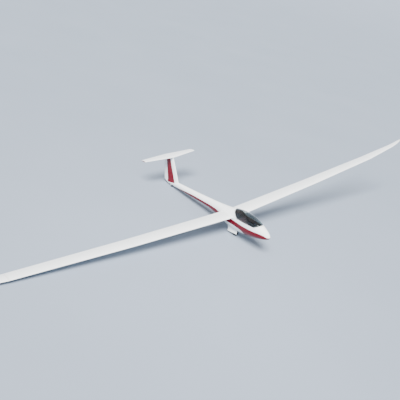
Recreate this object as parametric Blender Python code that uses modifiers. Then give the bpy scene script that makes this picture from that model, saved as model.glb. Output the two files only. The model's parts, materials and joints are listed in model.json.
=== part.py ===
"""Open-class single-seat sailplane with a T-tail, parked on its main wheel, its tail wheel
and the skid under its starboard wing tip.

Everything is laid out in the aircraft's own level axes and then tipped over as one piece:
x runs to port, y aft and z up, in metres. The origin is on the centreline at the station of
the wing root's leading edge. Side +1 is port and side -1 is starboard.
"""

import math

import bmesh
import bpy
from mathutils import Matrix, Vector

# where the pod ends, and the gaps between pieces
POD_END_Y = 1.10
SEAT_GAP = 0.0003
RUNNING_GAP = 0.005
NOSE_GAP = 0.00575  # round a control surface's nose, whose arc is drawn in a few chords
PIN_GAP = 0.0005
LINING_GAP = 0.0009
FAR = 0.5  # how far a cutter runs on past what it cuts

# fuselage sections: (y, top z, bottom z, z of the widest point, half width)
POD_SECTIONS = [
    (-1.880, -0.205, -0.255, -0.230, 0.025),
    (-1.850, -0.150, -0.297, -0.226, 0.072),
    (-1.760, -0.055, -0.348, -0.212, 0.132),
    (-1.620, 0.045, -0.395, -0.190, 0.188),
    (-1.450, 0.150, -0.437, -0.160, 0.236),
    (-1.150, 0.318, -0.490, -0.110, 0.286),
    (-0.800, 0.432, -0.535, -0.060, 0.314),
    (-0.400, 0.482, -0.563, -0.010, 0.326),
    (0.000, 0.455, -0.570, 0.020, 0.326),
    (0.350, 0.400, -0.535, 0.045, 0.305),
    (0.750, 0.368, -0.425, 0.065, 0.262),
    (1.100, 0.360, -0.305, 0.085, 0.222),
]
BOOM_SECTIONS = [
    (1.100, 0.360, -0.305, 0.085, 0.222),
    (1.480, 0.360, -0.185, 0.110, 0.190),
    (1.880, 0.365, -0.078, 0.145, 0.173),
    (2.900, 0.385, 0.025, 0.205, 0.150),
    (4.260, 0.440, 0.145, 0.285, 0.106),
    (4.850, 0.462, 0.203, 0.325, 0.068),
    (5.200, 0.475, 0.240, 0.350, 0.042),
]
SKIN = 0.010
SECTION_POINTS = 40
RINGS_PER_BAY = 2
INNER_NOSE_Y = -1.850

# cockpit opening seen from the side, as (y, z): sill aft, sill front, nose break, then above
SILL_AFT = (-0.21, 0.110)
SILL_FRONT = (-1.19, 0.020)
CANOPY_FRONT = (-1.457, 0.147)
CANOPY_AFT = (0.14, 0.425)
CANOPY_RAIL = 0.030
CANOPY_RISE = 0.30
CANOPY_FRAME_DEPTH = 0.014
GLASS = 0.004
CORNER = 0.110
CANOPY_HINGES = (-1.080, -0.320)
HINGE_OUT = 0.011
KNUCKLE_RADIUS = 0.008
KNUCKLE_LENGTH = 0.030
KNUCKLE_FOOT_RADIUS = 0.0056
KNUCKLE_FOOT_IN, KNUCKLE_FOOT_RISE = 0.004, 0.022
CANOPY_PIN = {"radius": 0.004, "length": 0.018, "base": 0.010}

# cockpit space seen from the side, as (y, z), inside the skin
COCKPIT_PROFILE = [
    (-1.74, -0.60), (-0.47, -0.60), (0.00, 0.03), (0.06, 0.34), (0.06, 0.70), (-1.74, 0.70)
]

# wing stations: (distance from the centreline, chord, leading edge y, height, thickness ratio)
ROOT_RIB = (0.400, 0.839, 0.000, 0.132, 0.140)
PANEL_BREAK = (5.300, 0.720, 0.002, 0.393, 0.135)
TIP_BREAK = (9.940, 0.561, 0.021, 0.703, 0.130)
FAIRING_STATIONS = [
    (0.120, 1.010, -0.070, 0.117, 0.170),
    (0.300, 0.900, -0.030, 0.127, 0.152),
    ROOT_RIB,
]
TIP_STATIONS = [
    TIP_BREAK,
    (11.200, 0.424, 0.045, 0.857, 0.125),
    (12.190, 0.317, 0.063, 0.978, 0.120),
    (12.700, 0.235, 0.115, 1.055, 0.120),
    (13.050, 0.150, 0.190, 1.110, 0.120),
    (13.250, 0.050, 0.280, 1.140, 0.140),
]
WING_CAMBER = 0.018
FOIL_STEPS = 12
HINGE_FRACTION = 0.80
RIB = 0.020
NOSE_STEPS = 8

# airbrake blades on the inner panels
BRAKE_INNER, BRAKE_OUTER = 3.30, 4.50
BRAKE_FRACTION = 0.52
BRAKE_THICK = 0.012
BRAKE_HEIGHT = 0.064
BRAKE_BELOW_SKIN = 0.001
BRAKE_SLOT_RISE = 0.030

# fin and rudder stations: (z, leading edge y, trailing edge y)
FIN_STATIONS = [(0.300, 4.220, 5.412), (1.060, 4.440, 5.382), (1.668, 4.635, 5.358)]
FIN_THICKNESS = 0.110
RUDDER_FOOT = Vector((0.0, 5.080, 0.250))
RUDDER_HEAD = Vector((0.0, 5.165, 1.470))
RUDDER_FOOT_SLOPE = 0.40
RUDDER_HEAD_SLOPE = -0.25
RUDDER_TRAVEL = math.radians(30)
RUDDER_ROOM_BELOW = 0.30
RUDDER_BRACKET = ((-0.0125, 4.988, 0.2030), (0.0125, 5.102, 0.2315))
FIN_END = [(5.195, 1.470), (5.500, 1.400), (5.500, 1.800), (5.060, 1.700)]

# tailplane stations for one side: (distance from the centreline, leading edge y, trailing edge y)
TAIL_ROOT = (0.000, 4.580, 5.330)
TAIL_END = (1.470, 4.840, 5.205)
TAIL_CAP = (1.505, 4.880, 5.185)
TAILPLANE_Z = 1.670
TAIL_THICKNESS = 0.100
ELEVATOR_HALF_SPAN = 1.400
ELEVATOR_HINGE_Y = 5.120

# undercarriage
MAIN_AXLE = Vector((0.0, 0.180, -0.670))
MAIN_RADIUS, MAIN_RIM, MAIN_WIDTH = 0.195, 0.105, 0.120
TAIL_AXLE = Vector((0.0, 4.850, 0.165))
TAIL_RADIUS, TAIL_RIM, TAIL_WIDTH = 0.090, 0.048, 0.052
BAY_HALF, BAY_FRONT, BAY_BACK, BAY_TOP, BAY_FOOT = 0.120, -0.080, 0.520, -0.170, -0.800
GEAR_PIVOTS = ((0.400, -0.330), (-0.052, -0.300))
LEG_X, LEG_RADIUS, SHAFT_RADIUS, BOSS_RADIUS = 0.085, 0.012, 0.0156, 0.024
BOSS_HALF, AXLE_END = 0.014, 0.018
AXLE_RADIUS, TAIL_AXLE_RADIUS = 0.0125, 0.0070
DOOR_TOP, DOOR_FOOT, DOOR_FLARE, DOOR_THICK = -0.425, -0.700, 0.030, 0.005
DOOR_BEND, DOOR_STEPS, DOOR_INSET = 0.4, 5, 0.010
TAIL_SLOT = (0.032, 4.745, 4.960, 0.275)
TAIL_LUG_X, TAIL_LUG_RADIUS, TAIL_LUG_RISE = (0.0325, 0.0425), 0.0165, 0.070
# the web over a lug stands a little out of its flat faces and in from its round one
LUG_WEB_OUT, LUG_WEB_HALF = 0.0002, 0.0158
WHEEL_STEPS = 40
SKID_X, SKID_HALF, SKID_DEPTH, SKID_LENGTH = 12.30, 0.009, 0.070, 0.220
SKID_ROOT, SKID_SINK = 0.020, 0.005
HOOK_LOW, HOOK_HIGH = (-0.025, -0.350, -0.590), (0.025, -0.250, -0.540)

# seat line seen from the side, as (y, z), and the cockpit's furniture
SEAT_LINE = [
    (-0.90, -0.400), (-0.80, -0.425), (-0.66, -0.430), (-0.56, -0.375),
    (-0.42, -0.235), (-0.27, -0.085), (-0.14, 0.045), (-0.11, 0.085),
]
SEAT_HALF = 0.40
SEAT_THICK = 0.008
PAD_THICK = 0.032
# side ledges: (inner x, outer x, front y, back y, bottom z, top z)
LEDGE = (0.215, 0.400, -1.020, -0.362, -0.165, -0.135)
CUSHION_HALF, BACK_HALF = 0.150, 0.170
HEADREST_LOW, HEADREST_HIGH = (-0.085, -0.050, 0.105), (0.085, 0.100, 0.250)
STICK_FOOT, STICK_TOP = Vector((0.0, -0.970, -0.560)), Vector((0.0, -0.930, -0.150))
STICK_RADIUS, GRIP_RADIUS, BOOT_RADIUS = 0.011, 0.018, 0.032
GRIP_SHARES, BOOT_SHARES = (0.70, 1.02), (0.0, 0.20)
PEDESTAL_LOW, PEDESTAL_HIGH = (-0.060, -1.240, -0.600), (0.060, -1.120, 0.000)
# console faces from the panel forwards: (((foot y, foot z), (top y, top z)), half width)
CONSOLE_FACES = [
    (((-1.075, -0.120), (-1.110, 0.165)), 0.205),
    (((-1.280, -0.080), (-1.300, 0.135)), 0.170),
    (((-1.400, -0.020), (-1.425, 0.085)), 0.110),
]
PANEL_THICK = 0.004
PANEL_BORDER = 0.010
PANEL_SEAT = 0.00036
CONSOLE_STEPS = 8
CONSOLE_ARCH = 0.6

PARTS = "sailplane"
CUTTERS = "cutters"


def srgb(code):
    """Linear colour of an sRGB hex code."""
    values = [int(code[k : k + 2], 16) / 255 for k in (0, 2, 4)]
    return [v / 12.92 if v <= 0.04045 else ((v + 0.055) / 1.055) ** 2.4 for v in values] + [1.0]


def material(name, code, roughness, metallic=0.0, transmission=0.0):
    """A Principled material."""
    made = bpy.data.materials.new(name)
    made.use_nodes = True
    shader = made.node_tree.nodes["Principled BSDF"]
    shader.inputs["Base Color"].default_value = srgb(code)
    shader.inputs["Roughness"].default_value = roughness
    shader.inputs["Metallic"].default_value = metallic
    shader.inputs["Transmission Weight"].default_value = transmission
    return made


def clear_scene():
    """An empty scene with one collection for the parts and one for the cutters."""
    for old in list(bpy.data.objects):
        bpy.data.objects.remove(old, do_unlink=True)
    for name in (PARTS, CUTTERS):
        made = bpy.data.collections.new(name)
        bpy.context.scene.collection.children.link(made)


def add_object(name, mesh, finish):
    """A mesh as a part, or as a cutter when it has no finish."""
    made = bpy.data.objects.new(name, mesh)
    if finish is None:
        bpy.data.collections[CUTTERS].objects.link(made)
        made.hide_render = True
        made.display_type = "WIRE"
    else:
        mesh.materials.append(finish)
        bpy.data.collections[PARTS].objects.link(made)
    return made


def from_bmesh(name, shape, finish):
    """An object from a bmesh, shaded smooth except at its edges."""
    bmesh.ops.recalc_face_normals(shape, faces=shape.faces)
    mesh = bpy.data.meshes.new(name)
    shape.to_mesh(mesh)
    shape.free()
    mesh.shade_smooth()
    mesh.set_sharp_from_angle(angle=math.radians(35))
    return add_object(name, mesh, finish)


def loft(name, rings, finish=None):
    """A closed body through rings that have the same number of points."""
    shape = bmesh.new()
    loops = [[shape.verts.new(point) for point in ring] for ring in rings]
    for first, second in zip(loops, loops[1:]):
        for k in range(len(first)):
            after = (k + 1) % len(first)
            shape.faces.new((first[k], first[after], second[after], second[k]))
    shape.faces.new(loops[0])
    shape.faces.new(loops[-1])
    return from_bmesh(name, shape, finish)


def prism(name, outline, left, right, finish=None):
    """A side view outline of (y, z) points pushed from x = left to x = right."""
    return loft(name, [[Vector((x, y, z)) for y, z in outline] for x in (left, right)], finish)


def box(name, low, high, finish=None):
    """A box between two corners."""
    low, high = Vector(low), Vector(high)
    shape = bmesh.new()
    place = Matrix.Translation((low + high) / 2) @ Matrix.Diagonal((*(high - low), 1.0))
    bmesh.ops.create_cube(shape, size=1.0, matrix=place)
    return from_bmesh(name, shape, finish)


def rod(name, radius, start, end, finish=None, sides=24):
    """A round bar between two points."""
    start, end = Vector(start), Vector(end)
    run = end - start
    place = Matrix.Translation((start + end) / 2) @ run.to_track_quat("Z", "Y").to_matrix().to_4x4()
    shape = bmesh.new()
    bmesh.ops.create_cone(shape, cap_ends=True, segments=sides, radius1=radius, radius2=radius,
                          depth=run.length, matrix=place)
    return from_bmesh(name, shape, finish)


def turned(name, profile, centre, finish, steps=WHEEL_STEPS):
    """A closed profile of (along the axle, radius) points turned about the x axis through centre."""
    mesh = bpy.data.meshes.new(name)
    points = [(x, 0.0, radius) for x, radius in profile]
    mesh.from_pydata(points, [(k, (k + 1) % len(points)) for k in range(len(points))], [])
    made = add_object(name, mesh, finish)
    made.location = centre
    screw = made.modifiers.new("turn", "SCREW")
    screw.axis = "X"
    screw.angle = math.tau
    screw.steps = steps
    screw.render_steps = steps
    screw.use_merge_vertices = True
    screw.merge_threshold = 0.0001
    screw.use_normal_flip = True
    return made


def combine(target, other, operation):
    """A Boolean of one object on another."""
    step = target.modifiers.new(other.name, "BOOLEAN")
    step.operation = operation
    step.object = other


def cut(target, *others):
    """Take the other bodies out of the target."""
    for other in others:
        combine(target, other, "DIFFERENCE")


def fuse(target, *others):
    """Join the other bodies to the target."""
    for other in others:
        combine(target, other, "UNION")


def keep_inside(target, other):
    """Keep only what lies inside the other body."""
    combine(target, other, "INTERSECT")


def set_origin(part, point):
    """Move an object's origin to a point without moving its shape."""
    shift = Vector(point) - part.location
    part.data.transform(Matrix.Translation(-shift))
    part.location = Vector(point)


def between(first, second, share):
    """A row of numbers a share of the way from one row to another."""
    return tuple(a + (b - a) * share for a, b in zip(first, second))


def eased(rows):
    """The rows with more between them, on a smooth curve over their first column."""
    slopes = []
    for k in range(len(rows)):
        before, after = rows[max(k - 1, 0)], rows[min(k + 1, len(rows) - 1)]
        slopes.append([(b - a) / (after[0] - before[0]) for a, b in zip(before, after)])
    made = []
    for k in range(len(rows) - 1):
        gap = rows[k + 1][0] - rows[k][0]
        for step in range(RINGS_PER_BAY):
            t = step / RINGS_PER_BAY
            first, second = 2 * t**3 - 3 * t**2 + 1, 3 * t**2 - 2 * t**3
            leave, arrive = (t**3 - 2 * t**2 + t) * gap, (t**3 - t**2) * gap
            made.append(tuple(first * a + second * b + leave * m + arrive * n for a, b, m, n
                              in zip(rows[k], rows[k + 1], slopes[k], slopes[k + 1])))
    return made + [rows[-1]]


def body_ring(section, inset=0.0):
    """One fuselage section, egg-shaped about its widest point and drawn in by the inset."""
    y, top, bottom, middle, half = section
    ring = []
    for k in range(SECTION_POINTS):
        turn = math.tau * k / SECTION_POINTS
        height = (top - middle if math.sin(turn) > 0 else middle - bottom) - inset
        ring.append(Vector(((half - inset) * math.cos(turn), y, middle + height * math.sin(turn))))
    return ring


def pod_body(name, inset, finish=None, front=-math.inf):
    """The pod's form with the canopy closed, drawn in by the inset, from a station aft."""
    sections = [section for section in eased(POD_SECTIONS) if section[0] >= front]
    return loft(name, [body_ring(section, inset) for section in sections], finish)


def pod_half_width(y, z):
    """Half width of the pod at a station and height."""
    sections = eased(POD_SECTIONS)
    for first, second in zip(sections, sections[1:]):
        if first[0] <= y <= second[0]:
            share = (y - first[0]) / (second[0] - first[0])
            _, top, bottom, middle, half = between(first, second, share)
            reach = top - middle if z > middle else middle - bottom
            return half * math.sqrt(max(0.0, 1 - ((z - middle) / reach) ** 2))
    raise ValueError("no pod at that station")


def half_thickness(fraction, ratio):
    """Half thickness of the wing section, as a share of the chord."""
    f = fraction
    return 5 * ratio * (0.2969 * math.sqrt(f) - 0.126 * f - 0.3516 * f**2 + 0.2843 * f**3 - 0.1015 * f**4)


def mean_height(fraction, camber):
    """Height of the section's mean line, as a share of the chord."""
    return 4 * camber * fraction * (1 - fraction)


def foil(chord, ratio, camber, swell=0.0):
    """Section outline as (aft, up) points, over the top from the trailing edge and back below."""
    steps = [(1 - math.cos(math.pi * k / FOIL_STEPS)) / 2 for k in range(FOIL_STEPS + 1)]
    upper = [(f * chord, (mean_height(f, camber) + half_thickness(f, ratio)) * chord + swell)
             for f in reversed(steps)]
    lower = [(f * chord, (mean_height(f, camber) - half_thickness(f, ratio)) * chord - swell)
             for f in steps[1:]]
    return upper + lower


def wing_ring(station, side):
    """One wing rib."""
    out, chord, front, height, ratio = station
    return [Vector((side * out, front + aft, height + up)) for aft, up in foil(chord, ratio, WING_CAMBER)]


def station_at(first, second, out):
    """The wing station at a distance from the centreline, between two others."""
    return between(first, second, (out - first[0]) / (second[0] - first[0]))


def hinge_of(station, side):
    """Hinge centre and nose radius of the trailing edge surface at a wing station."""
    out, chord, front, height, ratio = station
    up = mean_height(HINGE_FRACTION, WING_CAMBER) * chord
    centre = Vector((side * out, front + HINGE_FRACTION * chord, height + up))
    return centre, half_thickness(HINGE_FRACTION, ratio) * chord


def nose_arc(radius):
    """Half circle as (aft, up) points, from straight up over the front to straight down."""
    turns = [math.pi / 2 + math.pi * k / NOSE_STEPS for k in range(NOSE_STEPS + 1)]
    return [(radius * math.cos(turn), radius * math.sin(turn)) for turn in turns]


def surface_ring(station, side):
    """Flap or aileron section: a round nose on the hinge and a tail to the trailing edge."""
    centre, radius = hinge_of(station, side)
    _, chord, front, height, ratio = station
    tail = []
    for fraction, sign in ((0.9, -1), (1.0, -1), (1.0, 1), (0.9, 1)):
        up = mean_height(fraction, WING_CAMBER) + sign * half_thickness(fraction, ratio)
        tail.append(Vector((centre.x, front + fraction * chord, height + up * chord)))
    nose = [centre + Vector((0.0, aft, up)) for aft, up in nose_arc(radius)]
    return nose + tail


def cove_ring(station, side):
    """Room for a trailing edge surface: its nose with a running gap, and all that lies aft."""
    centre, radius = hinge_of(station, side)
    room = radius + NOSE_GAP
    nose = [centre + Vector((0.0, aft, up)) for aft, up in nose_arc(room)]
    far = centre.y + FAR
    return nose + [Vector((centre.x, far, centre.z - room)), Vector((centre.x, far, centre.z + room))]


def spigot(fixed, moving, point, direction, radius=0.006, length=0.024, base=0.017):
    """A hinge pin rooted in the fixed piece, through a point on the moving piece's end face."""
    point, direction = Vector(point), Vector(direction).normalized()
    label = f"{moving.name}_pin_{len(moving.modifiers)}"
    fuse(fixed, rod(label, radius, point - direction * base, point + direction * length, sides=16))
    deep = length + 2 * PIN_GAP
    cut(moving, rod(label + "_socket", radius + PIN_GAP, point - direction * 0.004,
                    point + direction * deep, sides=16))


def make_finishes():
    """The finishes, by what the real piece is made of."""
    return {
        "gelcoat": material("gelcoat", "F1F2F1", 0.18),
        "acrylic": material("acrylic", "DDE8EA", 0.03, transmission=0.9),
        "trim": material("black_laminate", "1A1B1D", 0.45),
        "panel": material("instrument_black", "141416", 0.55),
        "lining": material("cockpit_lining", "5B5A58", 0.85),
        "upholstery": material("upholstery", "4A2422", 0.8),
        "steel": material("steel", "9EA2A6", 0.32, metallic=1.0),
        "alloy": material("alloy", "B9BCBF", 0.35, metallic=1.0),
        "tyre": material("tyre", "1B1B1C", 0.8),
        "skid": material("skid_plastic", "26272A", 0.5),
    }


def offset_outline(outline, distance):
    """A convex outline of (y, z) points, anticlockwise in y and z, moved inwards by a distance."""
    moved = []
    count = len(outline)
    for k in range(count):
        before, here, after = (Vector(outline[(k + step) % count]) for step in (-1, 0, 1))
        first, second = (here - before).normalized(), (after - here).normalized()
        inward = (Vector((-first.y, first.x)), Vector((-second.y, second.x)))
        middle = (inward[0] + inward[1]).normalized()
        moved.append(here + middle * (distance / middle.dot(inward[0])))
    return [(point.x, point.y) for point in moved]


def rounded(outline, corners, radius, steps=5):
    """The outline with the listed corners turned into arcs."""
    points = []
    for k, corner in enumerate(outline):
        if k not in corners:
            points.append(corner)
            continue
        here = Vector(corner)
        before = (Vector(outline[k - 1]) - here).normalized()
        after = (Vector(outline[(k + 1) % len(outline)]) - here).normalized()
        half = before.angle(after) / 2
        centre = here + (before + after).normalized() * (radius / math.sin(half))
        start = here + before * (radius / math.tan(half)) - centre
        sweep = math.pi - 2 * half
        for step in range(steps + 1):
            turn = sweep * step / steps
            x = start.x * math.cos(turn) - start.y * math.sin(turn)
            y = start.x * math.sin(turn) + start.y * math.cos(turn)
            points.append((centre.x + x, centre.y + y))
    return points


def canopy_outline():
    """Side view of the opening for the canopy, anticlockwise, closed well above the glass."""
    aft_slope = (CANOPY_AFT[1] - SILL_AFT[1]) / (CANOPY_AFT[0] - SILL_AFT[0])
    front_slope = (CANOPY_FRONT[1] - SILL_FRONT[1]) / (SILL_FRONT[0] - CANOPY_FRONT[0])
    high_aft = (CANOPY_AFT[0] + CANOPY_RISE / aft_slope, CANOPY_AFT[1] + CANOPY_RISE)
    high_front = (CANOPY_FRONT[0] - CANOPY_RISE / front_slope, CANOPY_FRONT[1] + CANOPY_RISE)
    return rounded([high_front, SILL_FRONT, SILL_AFT, high_aft], (1, 2), CORNER)


def cockpit_space(name, extra):
    """The room inside the skin, from the nose bulkhead to the one behind the headrest."""
    space = pod_body(name, SKIN + extra, front=INNER_NOSE_Y)
    limits = offset_outline(COCKPIT_PROFILE, extra) if extra else COCKPIT_PROFILE
    keep_inside(space, prism(name + "_limits", limits, -FAR, FAR))
    return space


def build_pod(finish):
    """The hollow forward fuselage with its wing root fairings, cockpit and wheel bay."""
    pod = pod_body("fuselage_pod", 0.0, finish["gelcoat"])
    for side, name in ((1, "port"), (-1, "starboard")):
        fuse(pod, loft(f"fairing_{name}", [wing_ring(station, side) for station in FAIRING_STATIONS]))
    cut(pod, prism("canopy_opening", canopy_outline(), -FAR, FAR))
    cut(pod, cockpit_space("cockpit_room", 0.0))
    cut(pod, box("wheel_bay", (-BAY_HALF, BAY_FRONT, BAY_FOOT), (BAY_HALF, BAY_BACK, BAY_TOP)))
    return pod


def canopy_hinge(y):
    """Point on the canopy's hinge line, just outside the starboard sill."""
    share = (y - SILL_FRONT[0]) / (SILL_AFT[0] - SILL_FRONT[0])
    sill = SILL_FRONT[1] + (SILL_AFT[1] - SILL_FRONT[1]) * share
    height = sill + RUNNING_GAP / 2
    return Vector((-pod_half_width(y, height) - HINGE_OUT, y, height))


def knuckle(piece, start, along, lift):
    """A hinge knuckle with a foot that runs inboard, up or down, into the piece."""
    end = start + along * KNUCKLE_LENGTH
    middle = (start + end) / 2
    label = f"{piece.name}_knuckle_{len(piece.modifiers)}"
    root = middle + Vector((HINGE_OUT + KNUCKLE_FOOT_IN, 0.0, lift))
    fuse(piece, rod(label, KNUCKLE_RADIUS, start, end))
    fuse(piece, rod(label + "_foot", KNUCKLE_FOOT_RADIUS, middle, root, sides=16))


def build_canopy(finish, pod):
    """The canopy: a rail all round, hinged along the starboard sill, and the clear bubble in it."""
    outline = canopy_outline()
    frame = pod_body("canopy_frame", 0.0, finish["gelcoat"])
    cut(frame, pod_body("frame_inside", CANOPY_FRAME_DEPTH, front=INNER_NOSE_Y))
    keep_inside(frame, prism("frame_edge", offset_outline(outline, RUNNING_GAP), -FAR, FAR))
    window = offset_outline(outline, RUNNING_GAP + CANOPY_RAIL)
    cut(frame, prism("frame_window", window, -FAR, FAR))
    glass = pod_body("canopy_glass", 0.0, finish["acrylic"])
    cut(glass, pod_body("glass_inside", GLASS, front=INNER_NOSE_Y))
    pane = offset_outline(outline, RUNNING_GAP + CANOPY_RAIL + SEAT_GAP)
    keep_inside(glass, prism("glass_edge", pane, -FAR, FAR))
    ends = [canopy_hinge(y) for y in CANOPY_HINGES]
    along = (ends[1] - ends[0]).normalized()
    for point in ends:
        knuckle(pod, point - along * KNUCKLE_LENGTH, along, -KNUCKLE_FOOT_RISE)
        knuckle(frame, point + along * PIN_GAP, along, KNUCKLE_FOOT_RISE)
        spigot(pod, frame, point + along * PIN_GAP, along, **CANOPY_PIN)
    for piece in (frame, glass):
        set_origin(piece, ends[0])


def offset_line(line, distance):
    """A line of (y, z) points moved sideways by a distance, to its left."""
    moved = []
    for k, point in enumerate(line):
        here = Vector(point)
        runs = []
        if k > 0:
            runs.append((here - Vector(line[k - 1])).normalized())
        if k < len(line) - 1:
            runs.append((Vector(line[k + 1]) - here).normalized())
        along = sum(runs, Vector((0.0, 0.0))).normalized()
        moved.append((here.x - along.y * distance, here.y + along.x * distance))
    return moved


def bent_sheet(name, low, high, half_width, finish, first=0, last=len(SEAT_LINE)):
    """A sheet along a stretch of the seat line, between two distances from it."""
    outline = offset_line(SEAT_LINE, low)[first:last] + offset_line(SEAT_LINE, high)[first:last][::-1]
    return prism(name, outline, -half_width, half_width, finish)


def build_cockpit(finish):
    """Seat, pads, headrest, side ledges, stick and the instrument console with its face."""
    room = cockpit_space("furniture_room", LINING_GAP)
    half = SEAT_THICK / 2
    shell = bent_sheet("seat_shell", -half, half, SEAT_HALF, finish["lining"])
    keep_inside(shell, room)
    low = half + SEAT_GAP
    high = low + PAD_THICK
    bent_sheet("seat_cushion", low, high, CUSHION_HALF, finish["upholstery"], last=3)
    bent_sheet("back_cushion", low, high, BACK_HALF, finish["upholstery"], first=4, last=7)
    headrest = box("headrest", HEADREST_LOW, HEADREST_HIGH, finish["upholstery"])
    keep_inside(headrest, room)
    near, far, front, back, floor, top = LEDGE
    for side, name in ((1, "port"), (-1, "starboard")):
        low_x, high_x = sorted((side * near, side * far))
        ledge = box(f"side_ledge_{name}", (low_x, front, floor), (high_x, back, top), finish["trim"])
        keep_inside(ledge, room)
    stick = rod("control_stick", STICK_RADIUS, STICK_FOOT, STICK_TOP, finish["trim"], sides=16)
    for label, radius, shares in (("grip", GRIP_RADIUS, GRIP_SHARES), ("boot", BOOT_RADIUS, BOOT_SHARES)):
        ends = [STICK_FOOT.lerp(STICK_TOP, share) for share in shares]
        fuse(stick, rod("stick_" + label, radius, *ends, sides=16))
    keep_inside(stick, room)
    build_console(finish, room)


def console_ring(face, half_width, inset=0.0, step=0.0):
    """Arch-shaped section of the console on a sloping face, drawn in and moved aft."""
    (foot_y, foot_z), (top_y, top_z) = face
    ring = []
    for k in range(CONSOLE_STEPS + 1):
        turn = math.pi * k / CONSOLE_STEPS
        height = foot_z + inset + (top_z - foot_z - 2 * inset) * math.sin(turn) ** CONSOLE_ARCH
        y = foot_y + (top_y - foot_y) * (height - foot_z) / (top_z - foot_z) + step
        ring.append(Vector(((half_width - inset) * math.cos(turn), y, height)))
    return ring


def build_console(finish, room):
    """The instrument console on its pedestal, and the panel on its face."""
    console = loft("instrument_console", [console_ring(*row) for row in CONSOLE_FACES], finish["panel"])
    fuse(console, box("pedestal", PEDESTAL_LOW, PEDESTAL_HIGH))
    keep_inside(console, room)
    steps = (PANEL_SEAT, PANEL_SEAT + PANEL_THICK)
    face = [console_ring(*CONSOLE_FACES[0], inset=PANEL_BORDER, step=step) for step in steps]
    loft("instrument_panel", face, finish["trim"])


def fin_at(z):
    """Leading and trailing edge of the fin and rudder at a height."""
    lower, upper = FIN_STATIONS[:2] if z < FIN_STATIONS[1][0] else FIN_STATIONS[1:]
    share = (z - lower[0]) / (upper[0] - lower[0])
    return between(lower, upper, share)[1:]


def fin_ring(z):
    """One level section of the fin and rudder."""
    front, back = fin_at(z)
    return [Vector((out, front + aft, z)) for aft, out in foil(back - front, FIN_THICKNESS, 0.0)]


def rudder_nose(centre):
    """Radius of the rudder's nose at a point of its hinge."""
    front, back = fin_at(centre.z)
    return half_thickness((centre.y - front) / (back - front), FIN_THICKNESS) * (back - front)


def rudder_ring(centre, slope):
    """End section of the rudder, sloped as its foot and head are."""
    front, back = fin_at(centre.z)
    outline = nose_arc(rudder_nose(centre))
    for fraction, sign in ((0.9, -1), (1.0, -1), (1.0, 1), (0.9, 1)):
        out = sign * half_thickness(fraction, FIN_THICKNESS) * (back - front)
        outline.append((front + fraction * (back - front) - centre.y, out))
    return [centre + Vector((out, aft, slope * aft)) for aft, out in outline]


def rudder_room(centre, slope, lift):
    """The rudder's room in the fin and boom, some way beyond one end, with all that lies aft of it."""
    room = rudder_nose(centre) + NOSE_GAP
    turns = [math.pi / 2 + RUDDER_TRAVEL + (math.pi - 2 * RUDDER_TRAVEL) * k / NOSE_STEPS
             for k in range(NOSE_STEPS + 1)]
    outline = [(room * math.cos(turn), room * math.sin(turn)) for turn in turns]
    spread = (FAR - outline[0][0]) * math.tan(RUDDER_TRAVEL) + outline[0][1]
    outline += [(FAR, -spread), (FAR, spread)]
    along = (RUDDER_HEAD - RUDDER_FOOT).normalized()
    start = centre + along * (lift / along.z)
    return [start + Vector((out, aft, slope * aft)) for aft, out in outline]


def tail_ring(station, side, swell=0.0):
    """One rib of the tailplane."""
    out, front, back = station
    return [Vector((side * out, front + aft, TAILPLANE_Z + up))
            for aft, up in foil(back - front, TAIL_THICKNESS, 0.0, swell)]


def elevator_nose(out):
    """Radius of the elevator's nose at a distance from the centreline."""
    _, front, back = station_at(TAIL_ROOT, TAIL_END, out)
    return half_thickness((ELEVATOR_HINGE_Y - front) / (back - front), TAIL_THICKNESS) * (back - front)


def elevator_ring(out, side):
    """One section of the elevator."""
    _, front, back = station_at(TAIL_ROOT, TAIL_END, out)
    outline = nose_arc(elevator_nose(out))
    for fraction, sign in ((0.9, -1), (1.0, -1), (1.0, 1), (0.9, 1)):
        up = sign * half_thickness(fraction, TAIL_THICKNESS) * (back - front)
        outline.append((front + fraction * (back - front) - ELEVATOR_HINGE_Y, up))
    return [Vector((side * out, ELEVATOR_HINGE_Y + aft, TAILPLANE_Z + up)) for aft, up in outline]


def elevator_room(out, side):
    """The elevator's room in the tailplane."""
    room = elevator_nose(out) + NOSE_GAP
    outline = nose_arc(room) + [(FAR, -room), (FAR, room)]
    return [Vector((side * out, ELEVATOR_HINGE_Y + aft, TAILPLANE_Z + up)) for aft, up in outline]


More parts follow.
